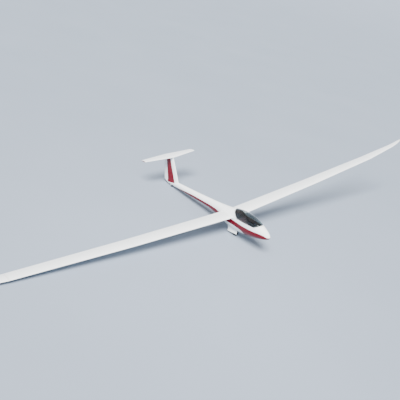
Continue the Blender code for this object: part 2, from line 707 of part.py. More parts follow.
def build_tail(finish):
    """Boom with its moulded fin, rudder, tailplane and elevator."""
    first = (POD_END_Y + SEAT_GAP, *BOOM_SECTIONS[0][1:])
    rings = [body_ring(section) for section in eased([first, *BOOM_SECTIONS[1:]])]
    boom = loft("tail_boom", rings, finish["gelcoat"])
    fuse(boom, loft("fin", [fin_ring(station[0]) for station in FIN_STATIONS]))
    rooms = [rudder_room(RUDDER_FOOT, RUDDER_FOOT_SLOPE, -RUDDER_ROOM_BELOW),
             rudder_room(RUDDER_HEAD, RUDDER_HEAD_SLOPE, RUNNING_GAP)]
    cut(boom, loft("rudder_space", rooms), prism("fin_end", FIN_END, -FAR, FAR))
    seat = [(TAIL_END, -1), (TAIL_ROOT, 1), (TAIL_END, 1)]
    cut(boom, loft("tailplane_seat", [tail_ring(*rib, SEAT_GAP) for rib in seat]))
    for side in (1, -1):
        lug = [TAIL_AXLE + Vector((side * x, 0.0, 0.0)) for x in TAIL_LUG_X]
        fuse(boom, rod(f"tail_lug_{side}", TAIL_LUG_RADIUS, *lug))
        low_x, high_x = sorted(side * (x + LUG_WEB_OUT) for x in TAIL_LUG_X)
        fuse(boom, box(f"tail_lug_web_{side}", (low_x, TAIL_AXLE.y - LUG_WEB_HALF, TAIL_AXLE.z),
                       (high_x, TAIL_AXLE.y + LUG_WEB_HALF, TAIL_AXLE.z + TAIL_LUG_RISE)))
    half, front, back, top = TAIL_SLOT
    cut(boom, box("tail_wheel_slot", (-half, front, 0.0), (half, back, top)))
    fuse(boom, box("rudder_bracket", *RUDDER_BRACKET))

    rudder = loft("rudder", [rudder_ring(RUDDER_FOOT, RUDDER_FOOT_SLOPE),
                             rudder_ring(RUDDER_HEAD, RUDDER_HEAD_SLOPE)], finish["gelcoat"])
    along = (RUDDER_HEAD - RUDDER_FOOT).normalized()
    spigot(boom, rudder, RUDDER_FOOT, along, length=0.030, base=0.028)
    spigot(boom, rudder, RUDDER_HEAD, -along)
    set_origin(rudder, RUDDER_FOOT)

    ribs = [(TAIL_CAP, -1), (TAIL_END, -1), (TAIL_ROOT, 1), (TAIL_END, 1), (TAIL_CAP, 1)]
    tailplane = loft("tailplane", [tail_ring(*rib) for rib in ribs], finish["gelcoat"])
    spans = [(ELEVATOR_HALF_SPAN, -1), (0.0, 1), (ELEVATOR_HALF_SPAN, 1)]
    elevator = loft("elevator", [elevator_ring(*span) for span in spans], finish["gelcoat"])
    reach = ELEVATOR_HALF_SPAN + RUNNING_GAP
    rooms = [elevator_room(*span) for span in ((reach, -1), (0.0, 1), (reach, 1))]
    cut(tailplane, loft("elevator_space", rooms))
    for side in (1, -1):
        end = (side * ELEVATOR_HALF_SPAN, ELEVATOR_HINGE_Y, TAILPLANE_Z)
        spigot(tailplane, elevator, end, (-side, 0, 0), radius=0.004)
    set_origin(elevator, (0.0, ELEVATOR_HINGE_Y, TAILPLANE_Z))


def add_surface(wing, name, root, tip, side, finish):
    """A hinged trailing edge between the ribs at the ends of a wing panel."""
    inner, outer = root[0] + RIB, tip[0] - RIB
    cut(wing, loft(name + "_space", [cove_ring(station_at(root, tip, out), side) for out in (inner, outer)]))
    ends = [station_at(root, tip, out) for out in (inner + RUNNING_GAP, outer - RUNNING_GAP)]
    surface = loft(name, [surface_ring(end, side) for end in ends], finish)
    points = [hinge_of(end, side)[0] for end in ends]
    along = (points[1] - points[0]).normalized()
    spigot(wing, surface, points[0], along)
    spigot(wing, surface, points[1], -along)
    set_origin(surface, points[0])


def brake_frame(side):
    """Place of an airbrake: on the wing's upper skin, its z square to the panel."""
    middle = (BRAKE_INNER + BRAKE_OUTER) / 2
    _, chord, front, height, ratio = station_at(ROOT_RIB, PANEL_BREAK, middle)
    up = mean_height(BRAKE_FRACTION, WING_CAMBER) + half_thickness(BRAKE_FRACTION, ratio)
    rise = (PANEL_BREAK[3] - ROOT_RIB[3]) / (PANEL_BREAK[0] - ROOT_RIB[0])
    place = Matrix.Translation((side * middle, front + BRAKE_FRACTION * chord, height + up * chord))
    return place @ Matrix.Rotation(-side * math.atan(rise), 4, "Y")


def add_airbrake(wing, name, side, finish):
    """A blade that stands in a slot through the upper skin and slides up out of it."""
    place = brake_frame(side)
    half_length = (BRAKE_OUTER - BRAKE_INNER) / 2
    half = BRAKE_THICK / 2
    slot = box(name + "_slot", (-half_length, -half - RUNNING_GAP, -BRAKE_HEIGHT - RUNNING_GAP),
               (half_length, half + RUNNING_GAP, BRAKE_SLOT_RISE))
    guide = half_length - PIN_GAP
    blade = box(name, (-guide, -half, -BRAKE_HEIGHT), (guide, half, -BRAKE_BELOW_SKIN), finish)
    for piece in (slot, blade):
        piece.matrix_world = place
    cut(wing, slot)


def skid_outline(top):
    """Side view of a wing tip skid as (y, z), a flat top over a shallow bow."""
    station = station_at(TIP_STATIONS[2], TIP_STATIONS[3], SKID_X)
    middle = station[2] + 0.5 * station[1]
    bow = [(middle + SKID_LENGTH / 2 * math.cos(turn), top - SKID_ROOT - SKID_DEPTH * math.sin(turn))
           for turn in (math.pi * k / 12 for k in range(13))]
    return bow + [(middle - SKID_LENGTH / 2, top), (middle + SKID_LENGTH / 2, top)]


def build_wing(name, side, finish):
    """Three panels with flap, aileron, airbrake and tip skid."""
    panels = {}
    for part, root, tip in (("inner", ROOT_RIB, PANEL_BREAK), ("outer", PANEL_BREAK, TIP_BREAK)):
        start = (root[0] + SEAT_GAP, *root[1:])
        rings = [wing_ring(start, side), wing_ring(tip, side)]
        panels[part] = loft(f"wing_{part}_{name}", rings, finish["gelcoat"])
    add_surface(panels["inner"], f"flap_{name}", ROOT_RIB, PANEL_BREAK, side, finish["gelcoat"])
    add_surface(panels["outer"], f"aileron_{name}", PANEL_BREAK, TIP_BREAK, side, finish["gelcoat"])
    add_airbrake(panels["inner"], f"airbrake_{name}", side, finish["alloy"])
    first = (TIP_BREAK[0] + SEAT_GAP, *TIP_BREAK[1:])
    rings = [wing_ring(station, side) for station in (first, *TIP_STATIONS[1:])]
    tip_panel = loft(f"wing_tip_{name}", rings, finish["gelcoat"])
    top = station_at(TIP_STATIONS[2], TIP_STATIONS[3], SKID_X)[3] + SKID_SINK
    skid = prism(f"tip_skid_{name}", skid_outline(top), side * SKID_X - SKID_HALF,
                 side * SKID_X + SKID_HALF, finish["skid"])
    swollen = []
    for out, chord, front, height, ratio in TIP_STATIONS[1:4]:
        outline = foil(chord, ratio, WING_CAMBER, SEAT_GAP)
        swollen.append([Vector((side * out, front + aft, height + up)) for aft, up in outline])
    cut(skid, loft(f"skid_seat_{name}", swollen))
    return tip_panel


def tyre_profile(radius, rim, width):
    """Tyre section from the rim over the tread as (along the axle, radius) points."""
    shoulder = rim + 0.35 * (radius - rim)
    points = []
    for k in range(9):
        turn = math.pi * k / 8
        crown = math.sin(turn) ** 0.75 if 0 < k < 8 else 0.0
        points.append((-width / 2 * math.cos(turn), shoulder + (radius - shoulder) * crown))
    return points + [(0.40 * width, rim), (-0.40 * width, rim)]


def hub_profile(rim, bore, width):
    """Wheel hub section: barrel, disc and rim."""
    outer = rim - SEAT_GAP
    half = [(0.32 * width, bore), (0.32 * width, bore * 2.2), (0.08 * width, bore * 2.6),
            (0.08 * width, outer * 0.80), (0.36 * width, outer * 0.88), (0.40 * width, outer)]
    return [(-x, radius) for x, radius in half] + list(reversed(half))


def build_gear(finish):
    """Main wheel on its legs between the open bay doors, tail wheel and tow hook."""
    turned("main_wheel_tyre", tyre_profile(MAIN_RADIUS, MAIN_RIM, MAIN_WIDTH), MAIN_AXLE, finish["tyre"])
    bore = AXLE_RADIUS + PIN_GAP
    turned("main_wheel_hub", hub_profile(MAIN_RIM, bore, MAIN_WIDTH), MAIN_AXLE, finish["alloy"])
    end = BAY_HALF - SEAT_GAP
    pivots = [((-end, y, z), (end, y, z)) for y, z in GEAR_PIVOTS]
    legs = rod("gear_legs", SHAFT_RADIUS, *pivots[0], finish["steel"])
    fuse(legs, rod("rear_shaft", SHAFT_RADIUS, *pivots[1]))
    for side in (1, -1):
        for y, z in GEAR_PIVOTS:
            foot = MAIN_AXLE + Vector((side * LEG_X, 0.0, 0.0))
            fuse(legs, rod(f"leg_{y}_{side}", LEG_RADIUS, (side * LEG_X, y, z), foot, sides=16))
        ends = [MAIN_AXLE + Vector((side * (LEG_X + step), 0.0, 0.0)) for step in (-BOSS_HALF, BOSS_HALF)]
        fuse(legs, rod(f"gear_boss_{side}", BOSS_RADIUS, *ends))
    reach = Vector((LEG_X + AXLE_END, 0.0, 0.0))
    cut(legs, rod("axle_hole", AXLE_RADIUS + PIN_GAP, MAIN_AXLE - reach * 2, MAIN_AXLE + reach * 2, sides=32))
    rod("main_axle", AXLE_RADIUS, MAIN_AXLE - reach, MAIN_AXLE + reach, finish["steel"], sides=32)
    for side, name in ((1, "port"), (-1, "starboard")):
        build_door(f"gear_door_{name}", side, finish["gelcoat"])

    turned("tail_wheel_tyre", tyre_profile(TAIL_RADIUS, TAIL_RIM, TAIL_WIDTH), TAIL_AXLE, finish["tyre"])
    bore = TAIL_AXLE_RADIUS + PIN_GAP
    turned("tail_wheel_hub", hub_profile(TAIL_RIM, bore, TAIL_WIDTH), TAIL_AXLE, finish["alloy"])
    reach = Vector((TAIL_LUG_X[0] - SEAT_GAP, 0.0, 0.0))
    rod("tail_axle", TAIL_AXLE_RADIUS, TAIL_AXLE - reach, TAIL_AXLE + reach, finish["steel"], sides=32)

    hook = box("tow_hook", HOOK_LOW, HOOK_HIGH, finish["steel"])
    cut(hook, pod_body("hook_seat", -SEAT_GAP))


def build_door(name, side, finish):
    """A bay door hanging open, its upper edge inside the bay's wall and its foot flared out."""
    outer, inner = [], []
    for k in range(DOOR_STEPS + 1):
        share = k / DOOR_STEPS
        z = DOOR_TOP + (DOOR_FOOT - DOOR_TOP) * share
        bend = max(0.0, share - DOOR_BEND) / (1 - DOOR_BEND)
        x = BAY_HALF - SEAT_GAP + DOOR_FLARE * bend**2
        outer.append((x, z))
        inner.append((x - DOOR_THICK, z))
    outline = outer + list(reversed(inner))
    stations = (BAY_FRONT + DOOR_INSET, BAY_BACK - DOOR_INSET)
    loft(name, [[Vector((side * x, y, z)) for x, z in outline] for y in stations], finish)


def evaluated_points(part):
    """The part's vertices as shown, in scene coordinates."""
    shown = part.evaluated_get(bpy.context.evaluated_depsgraph_get())
    mesh = shown.to_mesh()
    points = [shown.matrix_world @ vertex.co for vertex in mesh.vertices]
    shown.to_mesh_clear()
    return points


def resting_axes():
    """Rotation that lays the main wheel, tail wheel and starboard skid on a level floor."""
    bpy.context.view_layer.update()
    names = ("main_wheel_tyre", "tail_wheel_tyre", "tip_skid_starboard")
    touching = [evaluated_points(bpy.data.objects[name]) for name in names]
    up = Vector((0.0, 0.0, 1.0))
    for _ in range(20):
        front, rear, outer = (min(points, key=up.dot) for points in touching)
        up = (outer - front).cross(rear - front).normalized()
        if up.z < 0:
            up = -up
    aft = Vector((0.0, 1.0, 0.0))
    aft = (aft - up * aft.dot(up)).normalized()
    return Matrix((aft.cross(up), aft, up)).to_4x4()


def park():
    """Hang every part on one empty that stands the sailplane on the floor, its box centred."""
    tilt = resting_axes()
    parts = list(bpy.data.collections[PARTS].objects)
    cutters = list(bpy.data.collections[CUTTERS].objects)
    points = [tilt @ point for part in parts for point in evaluated_points(part)]
    low = Vector([min(point[k] for point in points) for k in range(3)])
    high = Vector([max(point[k] for point in points) for k in range(3)])
    parked = bpy.data.objects.new("parked", None)
    bpy.data.collections[PARTS].objects.link(parked)
    shift = Vector((-(low.x + high.x) / 2, -(low.y + high.y) / 2, -low.z))
    parked.matrix_world = Matrix.Translation(shift) @ tilt
    for piece in parts + cutters:
        piece.parent = parked


def build():
    """The whole sailplane."""
    clear_scene()
    finish = make_finishes()
    pod = build_pod(finish)
    build_canopy(finish, pod)
    build_cockpit(finish)
    build_tail(finish)
    for side, name in ((1, "port"), (-1, "starboard")):
        build_wing(name, side, finish)
    build_gear(finish)
    park()


build()
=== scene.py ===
# Open-class sailplane, parked: finishes, glazing, cockpit trim, wheels, tapes and fittings over its frame.
import json
import math

import bmesh
import bpy
from mathutils import Matrix, Vector
from mathutils.bvhtree import BVHTree


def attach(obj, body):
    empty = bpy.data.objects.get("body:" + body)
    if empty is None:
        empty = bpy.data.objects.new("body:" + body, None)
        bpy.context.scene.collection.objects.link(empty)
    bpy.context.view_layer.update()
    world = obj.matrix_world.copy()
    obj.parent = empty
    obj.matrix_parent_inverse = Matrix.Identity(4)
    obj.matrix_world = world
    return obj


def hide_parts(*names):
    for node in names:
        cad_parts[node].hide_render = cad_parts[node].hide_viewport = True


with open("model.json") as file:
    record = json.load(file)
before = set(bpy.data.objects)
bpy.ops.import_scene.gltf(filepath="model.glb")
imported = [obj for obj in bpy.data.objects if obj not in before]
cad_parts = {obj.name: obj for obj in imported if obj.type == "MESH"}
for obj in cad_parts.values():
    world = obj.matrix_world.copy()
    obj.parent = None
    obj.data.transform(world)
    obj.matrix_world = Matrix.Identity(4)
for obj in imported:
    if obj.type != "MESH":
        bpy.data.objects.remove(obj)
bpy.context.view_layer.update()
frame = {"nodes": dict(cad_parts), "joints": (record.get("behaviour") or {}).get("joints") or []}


# aircraft axes: x to port, y aft, z up, zero on the centreline at the wing root's leading edge
axlePlace = {"aft": 0.180, "below": 0.670}    # main axle from that zero, metres
sides = {"port": 1, "starboard": -1}
joints = {joint["name"]: joint for joint in frame["joints"]}


def placed(spot, x, y, z):
    # a place with its own three directions
    return Matrix.Translation(spot) @ Matrix((x, y, z)).transposed().to_4x4()


def aircraftAxes():
    port = Vector(joints["main_wheel_spin"]["axis"]).normalized()
    blades = [Vector(joints["airbrake_" + side + "_slide"]["axis"]) for side in sides]
    up = (blades[0] + blades[1]).normalized()
    aft = up.cross(port)
    zero = Vector(joints["main_wheel_spin"]["pos_m"]) - aft * axlePlace["aft"] + up * axlePlace["below"]
    return placed(zero, port, aft, up)


parked = aircraftAxes()
level = parked.inverted()


# small helpers
def linear(code, alpha=1.0):
    parts = [int(code[k:k + 2], 16) / 255 for k in (0, 2, 4)]
    return (*[p / 12.92 if p <= 0.04045 else ((p + 0.055) / 1.055) ** 2.4 for p in parts], alpha)


def setAll(thing, **settings):
    for name, value in settings.items():
        setattr(thing, name, value)
    return thing


def plug(node, links):
    # each socket takes a value, or a link from another node's output
    for socket, value in links.items():
        if isinstance(value, bpy.types.NodeSocket):
            node.id_data.links.new(value, node.inputs[socket])
        else:
            node.inputs[socket].default_value = value
    return node


def addNode(tree, kind, links=None, **settings):
    return plug(setAll(tree.nodes.new(kind), **settings), links or {})


def startMaterial(name, sockets):
    made = bpy.data.materials.new(name)
    made.use_nodes = True
    tree = made.node_tree
    place = addNode(tree, "ShaderNodeTexCoord")
    turn = addNode(tree, "ShaderNodeMapping", {
        "Vector": place.outputs["Object"], "Location": level.translation, "Rotation": level.to_euler("XYZ")})
    return made, tree, plug(tree.nodes["Principled BSDF"], sockets), turn.outputs["Vector"]


def liveMaterial(name, sockets, tone, shade, patch, smooth, dull, grain, relief):
    # uneven tone and gloss over patches, and a fine relief, each at its real size in millimetres
    made, tree, shader, where = startMaterial(name, sockets)
    cloud = addNode(tree, "ShaderNodeTexNoise", {
        "Vector": where, "Scale": 1000 / patch, "Detail": 3.0, "Roughness": 0.6}).outputs["Fac"]
    mixed = addNode(tree, "ShaderNodeMix", {0: cloud, 6: linear(tone), 7: linear(shade)}, data_type="RGBA")
    gloss = addNode(tree, "ShaderNodeMapRange", {
        "Value": cloud, "From Min": 0.3, "From Max": 0.7, "To Min": smooth, "To Max": dull})
    fine = addNode(tree, "ShaderNodeTexNoise", {"Vector": where, "Scale": 1000 / grain, "Detail": 2.0})
    bump = addNode(tree, "ShaderNodeBump", {
        "Height": fine.outputs["Fac"], "Distance": relief / 1000, "Strength": 1.0}).outputs["Normal"]
    plug(shader, {"Base Color": mixed.outputs[2], "Roughness": gloss.outputs["Result"], "Normal": bump})
    return made, tree, shader, where, mixed.outputs[2], bump


# polyester gelcoat, sprayed in the mould, wet-sanded and polished: a deep even gloss with faint waves
gelcoatLook = {
    # two tones, patch in mm, roughness from and to, grain and relief in mm, as for every surface here
    "surface": ("F7F8F7", "EEF0EF", 900, 0.10, 0.20, 14, 0.004),
    "sockets": {"IOR": 1.53, "Specular IOR Level": 0.22},
    # the crimson of the stripe and fin band, the dark red laid over the tailplane's starboard tip, and the
    # softness of a colour edge in metres
    "crimson": "6A0217", "darkTipRed": "5E0714", "edge": 0.0008,
    # stripe edges seen from the side, as (aft, up) in metres
    "stripeTop": [(-1.90, -0.236), (-1.80, -0.218), (-1.67, -0.160), (-1.41, -0.122), (-1.13, -0.110),
                  (-0.83, -0.089), (-0.47, -0.052), (-0.24, -0.009), (0.06, 0.030), (1.00, 0.070),
                  (1.30, 0.115), (1.78, 0.158), (2.37, 0.193), (2.98, 0.226), (3.62, 0.232), (4.60, 0.190)],
    "stripeFoot": [(-1.90, -0.680), (-0.85, -0.680), (-0.60, -0.560), (-0.49, -0.352), (-0.37, -0.303),
                   (-0.21, -0.259), (0.04, -0.212), (0.40, -0.200), (0.85, -0.260), (1.25, -0.420),
                   (4.60, -0.420)],
    "stripeLow": -0.70, "stripeHigh": 0.30,
    "finFront": (4.475, 0.278, 0.31),      # band's front edge: aft at a height, aft per metre up, that height
    "finFoot": (0.36, -0.12, 4.60),        # band's foot: height at a place, rise per metre aft, that place
    # the tailplane's starboard tip is dark red outboard of this distance from the centreline, metres
    "darkTipFrom": 1.488,
}


def startGelcoat(name):
    made, tree, shader, where, tone, _ = liveMaterial(name, gelcoatLook["sockets"], *gelcoatLook["surface"])
    return made, tree, shader, tone, addNode(tree, "ShaderNodeSeparateXYZ", {0: where}).outputs


def overSpray(tree, shader, tone, mask, code):
    # colour sprayed over the white where the mask is one
    sprayed = addNode(tree, "ShaderNodeMix", {0: mask, 6: tone, 7: linear(code)}, data_type="RGBA")
    plug(shader, {"Base Color": sprayed.outputs[2]})


def pastEdge(tree, value, edge):
    # one where the value is past the edge, over a line as fine as masking tape leaves
    soft = gelcoatLook["edge"]
    gap = addNode(tree, "ShaderNodeMath", {0: value, 1: edge}, operation="SUBTRACT")
    return addNode(tree, "ShaderNodeMapRange", {"Value": gap.outputs[0], "From Min": -soft, "From Max": soft},
                   interpolation_type="SMOOTHSTEP").outputs["Result"]


def edgeHeight(tree, aft, points):
    # height of a stripe's edge at a place along the fuselage
    low, high = gelcoatLook["stripeLow"], gelcoatLook["stripeHigh"]
    front, back = points[0][0], points[-1][0]
    spots = [((place - front) / (back - front), (height - low) / (high - low)) for place, height in points]
    along = addNode(tree, "ShaderNodeMapRange", {"Value": aft, "From Min": front, "From Max": back})
    curve = addNode(tree, "ShaderNodeFloatCurve", {"Value": along.outputs["Result"]})
    line = curve.mapping.curves[0].points
    line[0].location = spots[0]
    for spot in spots[1:-1]:
        line.new(*spot)
    line[-1].location = spots[-1]
    for point in line:
        point.handle_type = "AUTO_CLAMPED"
    curve.mapping.update()
    return addNode(tree, "ShaderNodeMapRange", {
        "Value": curve.outputs["Value"], "To Min": low, "To Max": high}).outputs["Result"]


def stripedGelcoat():
    made, tree, shader, tone, axes = startGelcoat("polished gelcoat with crimson two-pack stripe")
    look = gelcoatLook
    stripe = [pastEdge(tree, edgeHeight(tree, axes[1], look["stripeTop"]), axes[2]),
              pastEdge(tree, axes[2], edgeHeight(tree, axes[1], look["stripeFoot"])),
              pastEdge(tree, look["stripeTop"][-1][0], axes[1])]
    finBand = []
    for (base, slope, zero), value, along in ((look["finFront"], 1, 2), (look["finFoot"], 2, 1)):
        edge = addNode(tree, "ShaderNodeMath", {0: axes[along], 1: slope, 2: base - slope * zero},
                       operation="MULTIPLY_ADD")
        finBand.append(pastEdge(tree, axes[value], edge.outputs[0]))
    areas = []
    for masks in (stripe, finBand):
        area = masks[0]
        for mask in masks[1:]:
            area = addNode(tree, "ShaderNodeMath", {0: area, 1: mask}, operation="MULTIPLY").outputs[0]
        areas.append(area)
    either = addNode(tree, "ShaderNodeMath", {0: areas[0], 1: areas[1]}, operation="MAXIMUM")
    overSpray(tree, shader, tone, either.outputs[0], look["crimson"])
    return made


def darkTippedGelcoat():
    made, tree, shader, tone, axes = startGelcoat("polished gelcoat, dark red at the starboard tailplane tip")
    # dark red laid over the tailplane's starboard tip, outboard of a station
    starboard = addNode(tree, "ShaderNodeMath", {0: axes[0], 1: -1.0}, operation="MULTIPLY").outputs[0]
    overSpray(tree, shader, tone, pastEdge(tree, starboard, gelcoatLook["darkTipFrom"]), gelcoatLook["darkTipRed"])
    return made


# cast acrylic, blown over a former and lightly smoked: very smooth, with long shallow ripples from the oven
acrylicLook = {
    "tint": linear("C6CFD0"),
    "ripple": 200, "rise": 0.8, "share": 0.6,      # ripples: mm apart, mm high, and how much of them shows
    "sockets": {"IOR": 1.49, "Transmission Weight": 1.0, "Roughness": 0.012, "Specular IOR Level": 0.05},
}


def castAcrylic():
    look = acrylicLook
    made, tree, shader, where = startMaterial("blown smoked acrylic", look["sockets"])
    ripple = addNode(tree, "ShaderNodeTexNoise", {
        "Vector": where, "Scale": 1000 / look["ripple"], "Detail": 1.0})
    bend = addNode(tree, "ShaderNodeBump", {
        "Height": ripple.outputs["Fac"], "Distance": look["rise"] / 1000, "Strength": look["share"]})
    plug(shader, {"Base Color": look["tint"], "Normal": bend.outputs["Normal"]})
    # lamps shine through it into the cockpit
    rays = addNode(tree, "ShaderNodeLightPath")
    clear = addNode(tree, "ShaderNodeBsdfTransparent", {"Color": look["tint"]})
    both = addNode(tree, "ShaderNodeMixShader", {
        0: rays.outputs["Is Shadow Ray"], 1: shader.outputs["BSDF"], 2: clear.outputs["BSDF"]})
    plug(tree.nodes["Material Output"], {"Surface": both.outputs["Shader"]})
    return made


# the other finishes, from what each is made of: the surface's columns, and the shader's sockets
plainLooks = {
    # two-pack cockpit paint, spattered over glass cloth, with a pebbled skin: matt, its brown-black partly
    # the paint's own dark tone and partly painted shade of the cockpit's inside
    "spattered cockpit paint, darkened as painted shade": ("221110", "160B0A", 26, 0.70, 0.86, 2.6, 0.25, {"IOR": 1.5}),
    # black glass laminate, moulded and rubbed down: satin with faint scuffs
    "rubbed black glass laminate": ("1D1E20", "141517", 60, 0.34, 0.52, 1.8, 0.04, {"IOR": 1.54}),
    # black crackle lacquer on sheet metal: fine wrinkled skin, low sheen
    "crackle lacquered sheet": ("2A2B2D", "202123", 9, 0.46, 0.62, 1.1, 0.18, {"IOR": 1.52}),
    # grey polyurethane enamel, sprayed on the canopy's inner rail: satin with a faint orange peel
    "sprayed grey rail enamel": ("66676A", "56575A", 70, 0.36, 0.48, 2.4, 0.03, {"IOR": 1.5}),
    # grained vinyl over foam: pebble grain with a dull sheen
    "grained black vinyl": ("151415", "0D0D0E", 30, 0.50, 0.64, 1.7, 0.30, {"IOR": 1.52}),
    # alloy sheet and castings, clear anodised: soft grey metal with an even haze
    "clear anodised alloy": ("C7C9CB", "B4B7BA", 45, 0.28, 0.42, 0.9, 0.02, {"Metallic": 1.0}),
    # welded steel tube, zinc plated: cooler, brighter metal with cloudy patches
    "zinc plated steel": ("B9BCC2", "9EA2A8", 22, 0.24, 0.44, 1.2, 0.03, {"Metallic": 1.0}),
    # black chromed brass of bezels and screws: dark, with a tight metal gleam
    "black chromed brass": ("2A2B2E", "1E1F22", 12, 0.20, 0.32, 0.8, 0.01, {"Metallic": 0.85}),
    # vulcanised tyre rubber: near black, dusty and matt
    "vulcanised rubber": ("232324", "171718", 34, 0.68, 0.88, 2.2, 0.12, {"IOR": 1.52}),
    # nylon skid, moulded and scraped by grass: grey-black, scratched
    "scraped black nylon": ("2B2C2F", "1F2022", 18, 0.42, 0.66, 1.4, 0.10, {"IOR": 1.53}),
    # white vinyl sealing tape: flatter and a shade warmer than the gelcoat
    "white vinyl tape": ("F1F1EC", "E6E7E2", 120, 0.32, 0.44, 6.0, 0.02, {"IOR": 1.5}),
    # dial cards, screen printed in matt black
    "printed dial card": ("111214", "0C0D0E", 8, 0.62, 0.75, 0.8, 0.01, {"IOR": 1.5}),
    # white enamel of needles and marks: flat and even
    "white dial enamel": ("F2F2EC", "E6E6DF", 8, 0.40, 0.50, 0.8, 0.01, {"IOR": 1.5}),
    # display glass, float made and switched off: black and very smooth
    "unlit display glass": ("0B0F12", "080A0C", 30, 0.04, 0.08, 9.0, 0.002, {"IOR": 1.52}),
    # knobs and grips, moulded in phenolic plastic: a low satin gloss, coloured by what they work
    "moulded black knob": ("1C1D1F", "131415", 12, 0.26, 0.40, 1.0, 0.03, {"IOR": 1.5}),
}
knobTones = {"blue": ("1B4F9C", "153F80"), "yellow": ("E7B51A", "CC9C12"), "green": ("2F7B3B", "25642F"),
             "red": ("B3202A", "941A22")}
for colour, tones in knobTones.items():
    plainLooks["moulded " + colour + " knob"] = (*tones, 12, 0.26, 0.38, 1.0, 0.02, {"IOR": 1.5})

# wool and polyester cloth, woven in a plain weave: dark brown-red with a soft nap
clothLook = {
    "surface": ("40100F", "2B0A0A", 40, 0.82, 0.94, 1.6, 0.10),
    "sockets": {"IOR": 1.45, "Sheen Weight": 0.08, "Sheen Roughness": 0.5},
    "thread": 3.2,            # mm between threads; the real 1.4 mm would not show
    "threadRise": 0.45,
}
# polyester webbing, woven on a narrow loom: ribs run across it
webbingLook = {
    "surface": ("17181C", "0F1013", 14, 0.58, 0.72, 1.2, 0.05),
    "sockets": {"IOR": 1.5, "Sheen Weight": 0.05}, "thread": 3.0, "threadRise": 0.25,
}


def wovenMaterial(name, look, across):
    # threads along x and along the seat's slope, as waves in both ways
    made, tree, shader, where, tone, relief = liveMaterial(name, look["sockets"], *look["surface"])
    axes = addNode(tree, "ShaderNodeSeparateXYZ", {0: where}).outputs
    slope = addNode(tree, "ShaderNodeMath", {0: axes[1], 1: axes[2]}, operation="ADD").outputs[0]
    waves = []
    for run in (axes[0], slope) if across else (slope,):
        phase = addNode(tree, "ShaderNodeMath", {0: run, 1: math.tau * 1000 / look["thread"]},
                        operation="MULTIPLY").outputs[0]
        waves.append(addNode(tree, "ShaderNodeMath", {0: phase}, operation="SINE").outputs[0])
    weave = waves[0]
    if across:
        weave = addNode(tree, "ShaderNodeMath", {0: weave, 1: waves[1]}, operation="MULTIPLY").outputs[0]
    thread = addNode(tree, "ShaderNodeBump", {
        "Height": weave, "Distance": look["threadRise"] / 1000, "Normal": relief})
    light = addNode(tree, "ShaderNodeMapRange", {
        "Value": weave, "From Min": -1.0, "To Min": 0.72, "To Max": 1.12})
    shade = addNode(tree, "ShaderNodeMix", {0: 1.0, 6: tone, 7: light.outputs["Result"]},
                    data_type="RGBA", blend_type="MULTIPLY")
    plug(shader, {"Base Color": shade.outputs[2], "Normal": thread.outputs["Normal"]})
    return made


finish = {name: liveMaterial(name, look[-1], *look[:-1])[0] for name, look in plainLooks.items()}
finish["gelcoat"] = startGelcoat("polished polyester gelcoat")[0]
finish["striped"] = stripedGelcoat()
finish["darkTipped"] = darkTippedGelcoat()
finish["acrylic"] = castAcrylic()
finish["cloth"] = wovenMaterial("woven brown-red seat cloth", clothLook, True)
finish["webbing"] = wovenMaterial("narrow woven webbing", webbingLook, False)
print("finishes mixed:", len(finish))


# meshes: shapes are drawn in aircraft axes and set down in the parked frame
squareCorners = ((1, 1), (-1, 1), (-1, -1), (1, -1))


def span(points):
    # the lowest and the highest corner
    return [Vector([end(p[k] for p in points) for k in range(3)]) for end in (min, max)]


def levelBox(node):
    return span([level @ v.co for v in frame["nodes"][node].data.vertices])


def facing(spot, way, up="Y"):
    # a place whose own z points that way
    return Matrix.Translation(spot) @ way.to_track_quat("Z", up).to_matrix().to_4x4()


def weld(shape, gap=0.00002):
    bmesh.ops.remove_doubles(shape, verts=shape.verts, dist=gap)
    return shape


def nodeShape(node):
    shape = bmesh.new()
    shape.from_mesh(frame["nodes"][node].data)
    bmesh.ops.transform(shape, matrix=level, verts=shape.verts)
    return weld(shape, 0.00005)


def meshOf(name, shape):
    mesh = bpy.data.meshes.new(name)
    shape.to_mesh(mesh)
    shape.free()
    return mesh


def pour(shape, target):
    # one shape's mesh added to another shape
    mesh = meshOf("scratch", shape)
    target.from_mesh(mesh)
    bpy.data.meshes.remove(mesh)


def joinShapes(shapes):
    merged = bmesh.new()
    for shape in shapes:
        pour(shape, merged)
    return weld(merged, 0.0004)


def putOut(name, data):
    made = bpy.data.objects.new(name, data)
    bpy.context.scene.collection.objects.link(made)
    return made


def modify(piece, name, kind, **settings):
    setAll(piece.modifiers.new(name, kind), **settings)


def meshPiece(name, shape, finishes, body="airframe", replaced=None, sharpest=35, turnOut=True):
    if turnOut:
        bmesh.ops.recalc_face_normals(shape, faces=shape.faces)
    bmesh.ops.transform(shape, matrix=parked, verts=shape.verts)
    mesh = meshOf(name, shape)
    if "custom_normal" in mesh.attributes:
        mesh.attributes.remove(mesh.attributes["custom_normal"])
    for entry in finishes:
        mesh.materials.append(finish[entry])
    mesh.shade_smooth()
    mesh.set_sharp_from_angle(angle=math.radians(sharpest))
    made = putOut(name, mesh)
    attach(made, body)
    if replaced:
        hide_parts(replaced)
    return made


def markFaces(verts, finishIndex):
    for face in {f for v in verts for f in v.link_faces}:
        face.material_index = finishIndex


def addBox(shape, middle, size, turn=Matrix.Identity(3), finishIndex=0):
    place = Matrix.Translation(middle) @ turn.to_4x4()
    made = bmesh.ops.create_cube(shape, size=1.0, matrix=place @ Matrix.Diagonal((*size, 1.0)))
    markFaces(made["verts"], finishIndex)


def addRod(shape, start, end, radius, far=None, around=20, finishIndex=0):
    start, end = Vector(start), Vector(end)
    made = bmesh.ops.create_cone(shape, cap_ends=True, segments=around, radius1=radius,
                                 radius2=radius if far is None else far, depth=(end - start).length,
                                 matrix=facing((start + end) / 2, end - start))
    markFaces(made["verts"], finishIndex)


def roundOutline(radius, around=10):
    turns = [math.tau * k / around for k in range(around)]
    return [(radius * math.cos(t), radius * math.sin(t)) for t in turns]


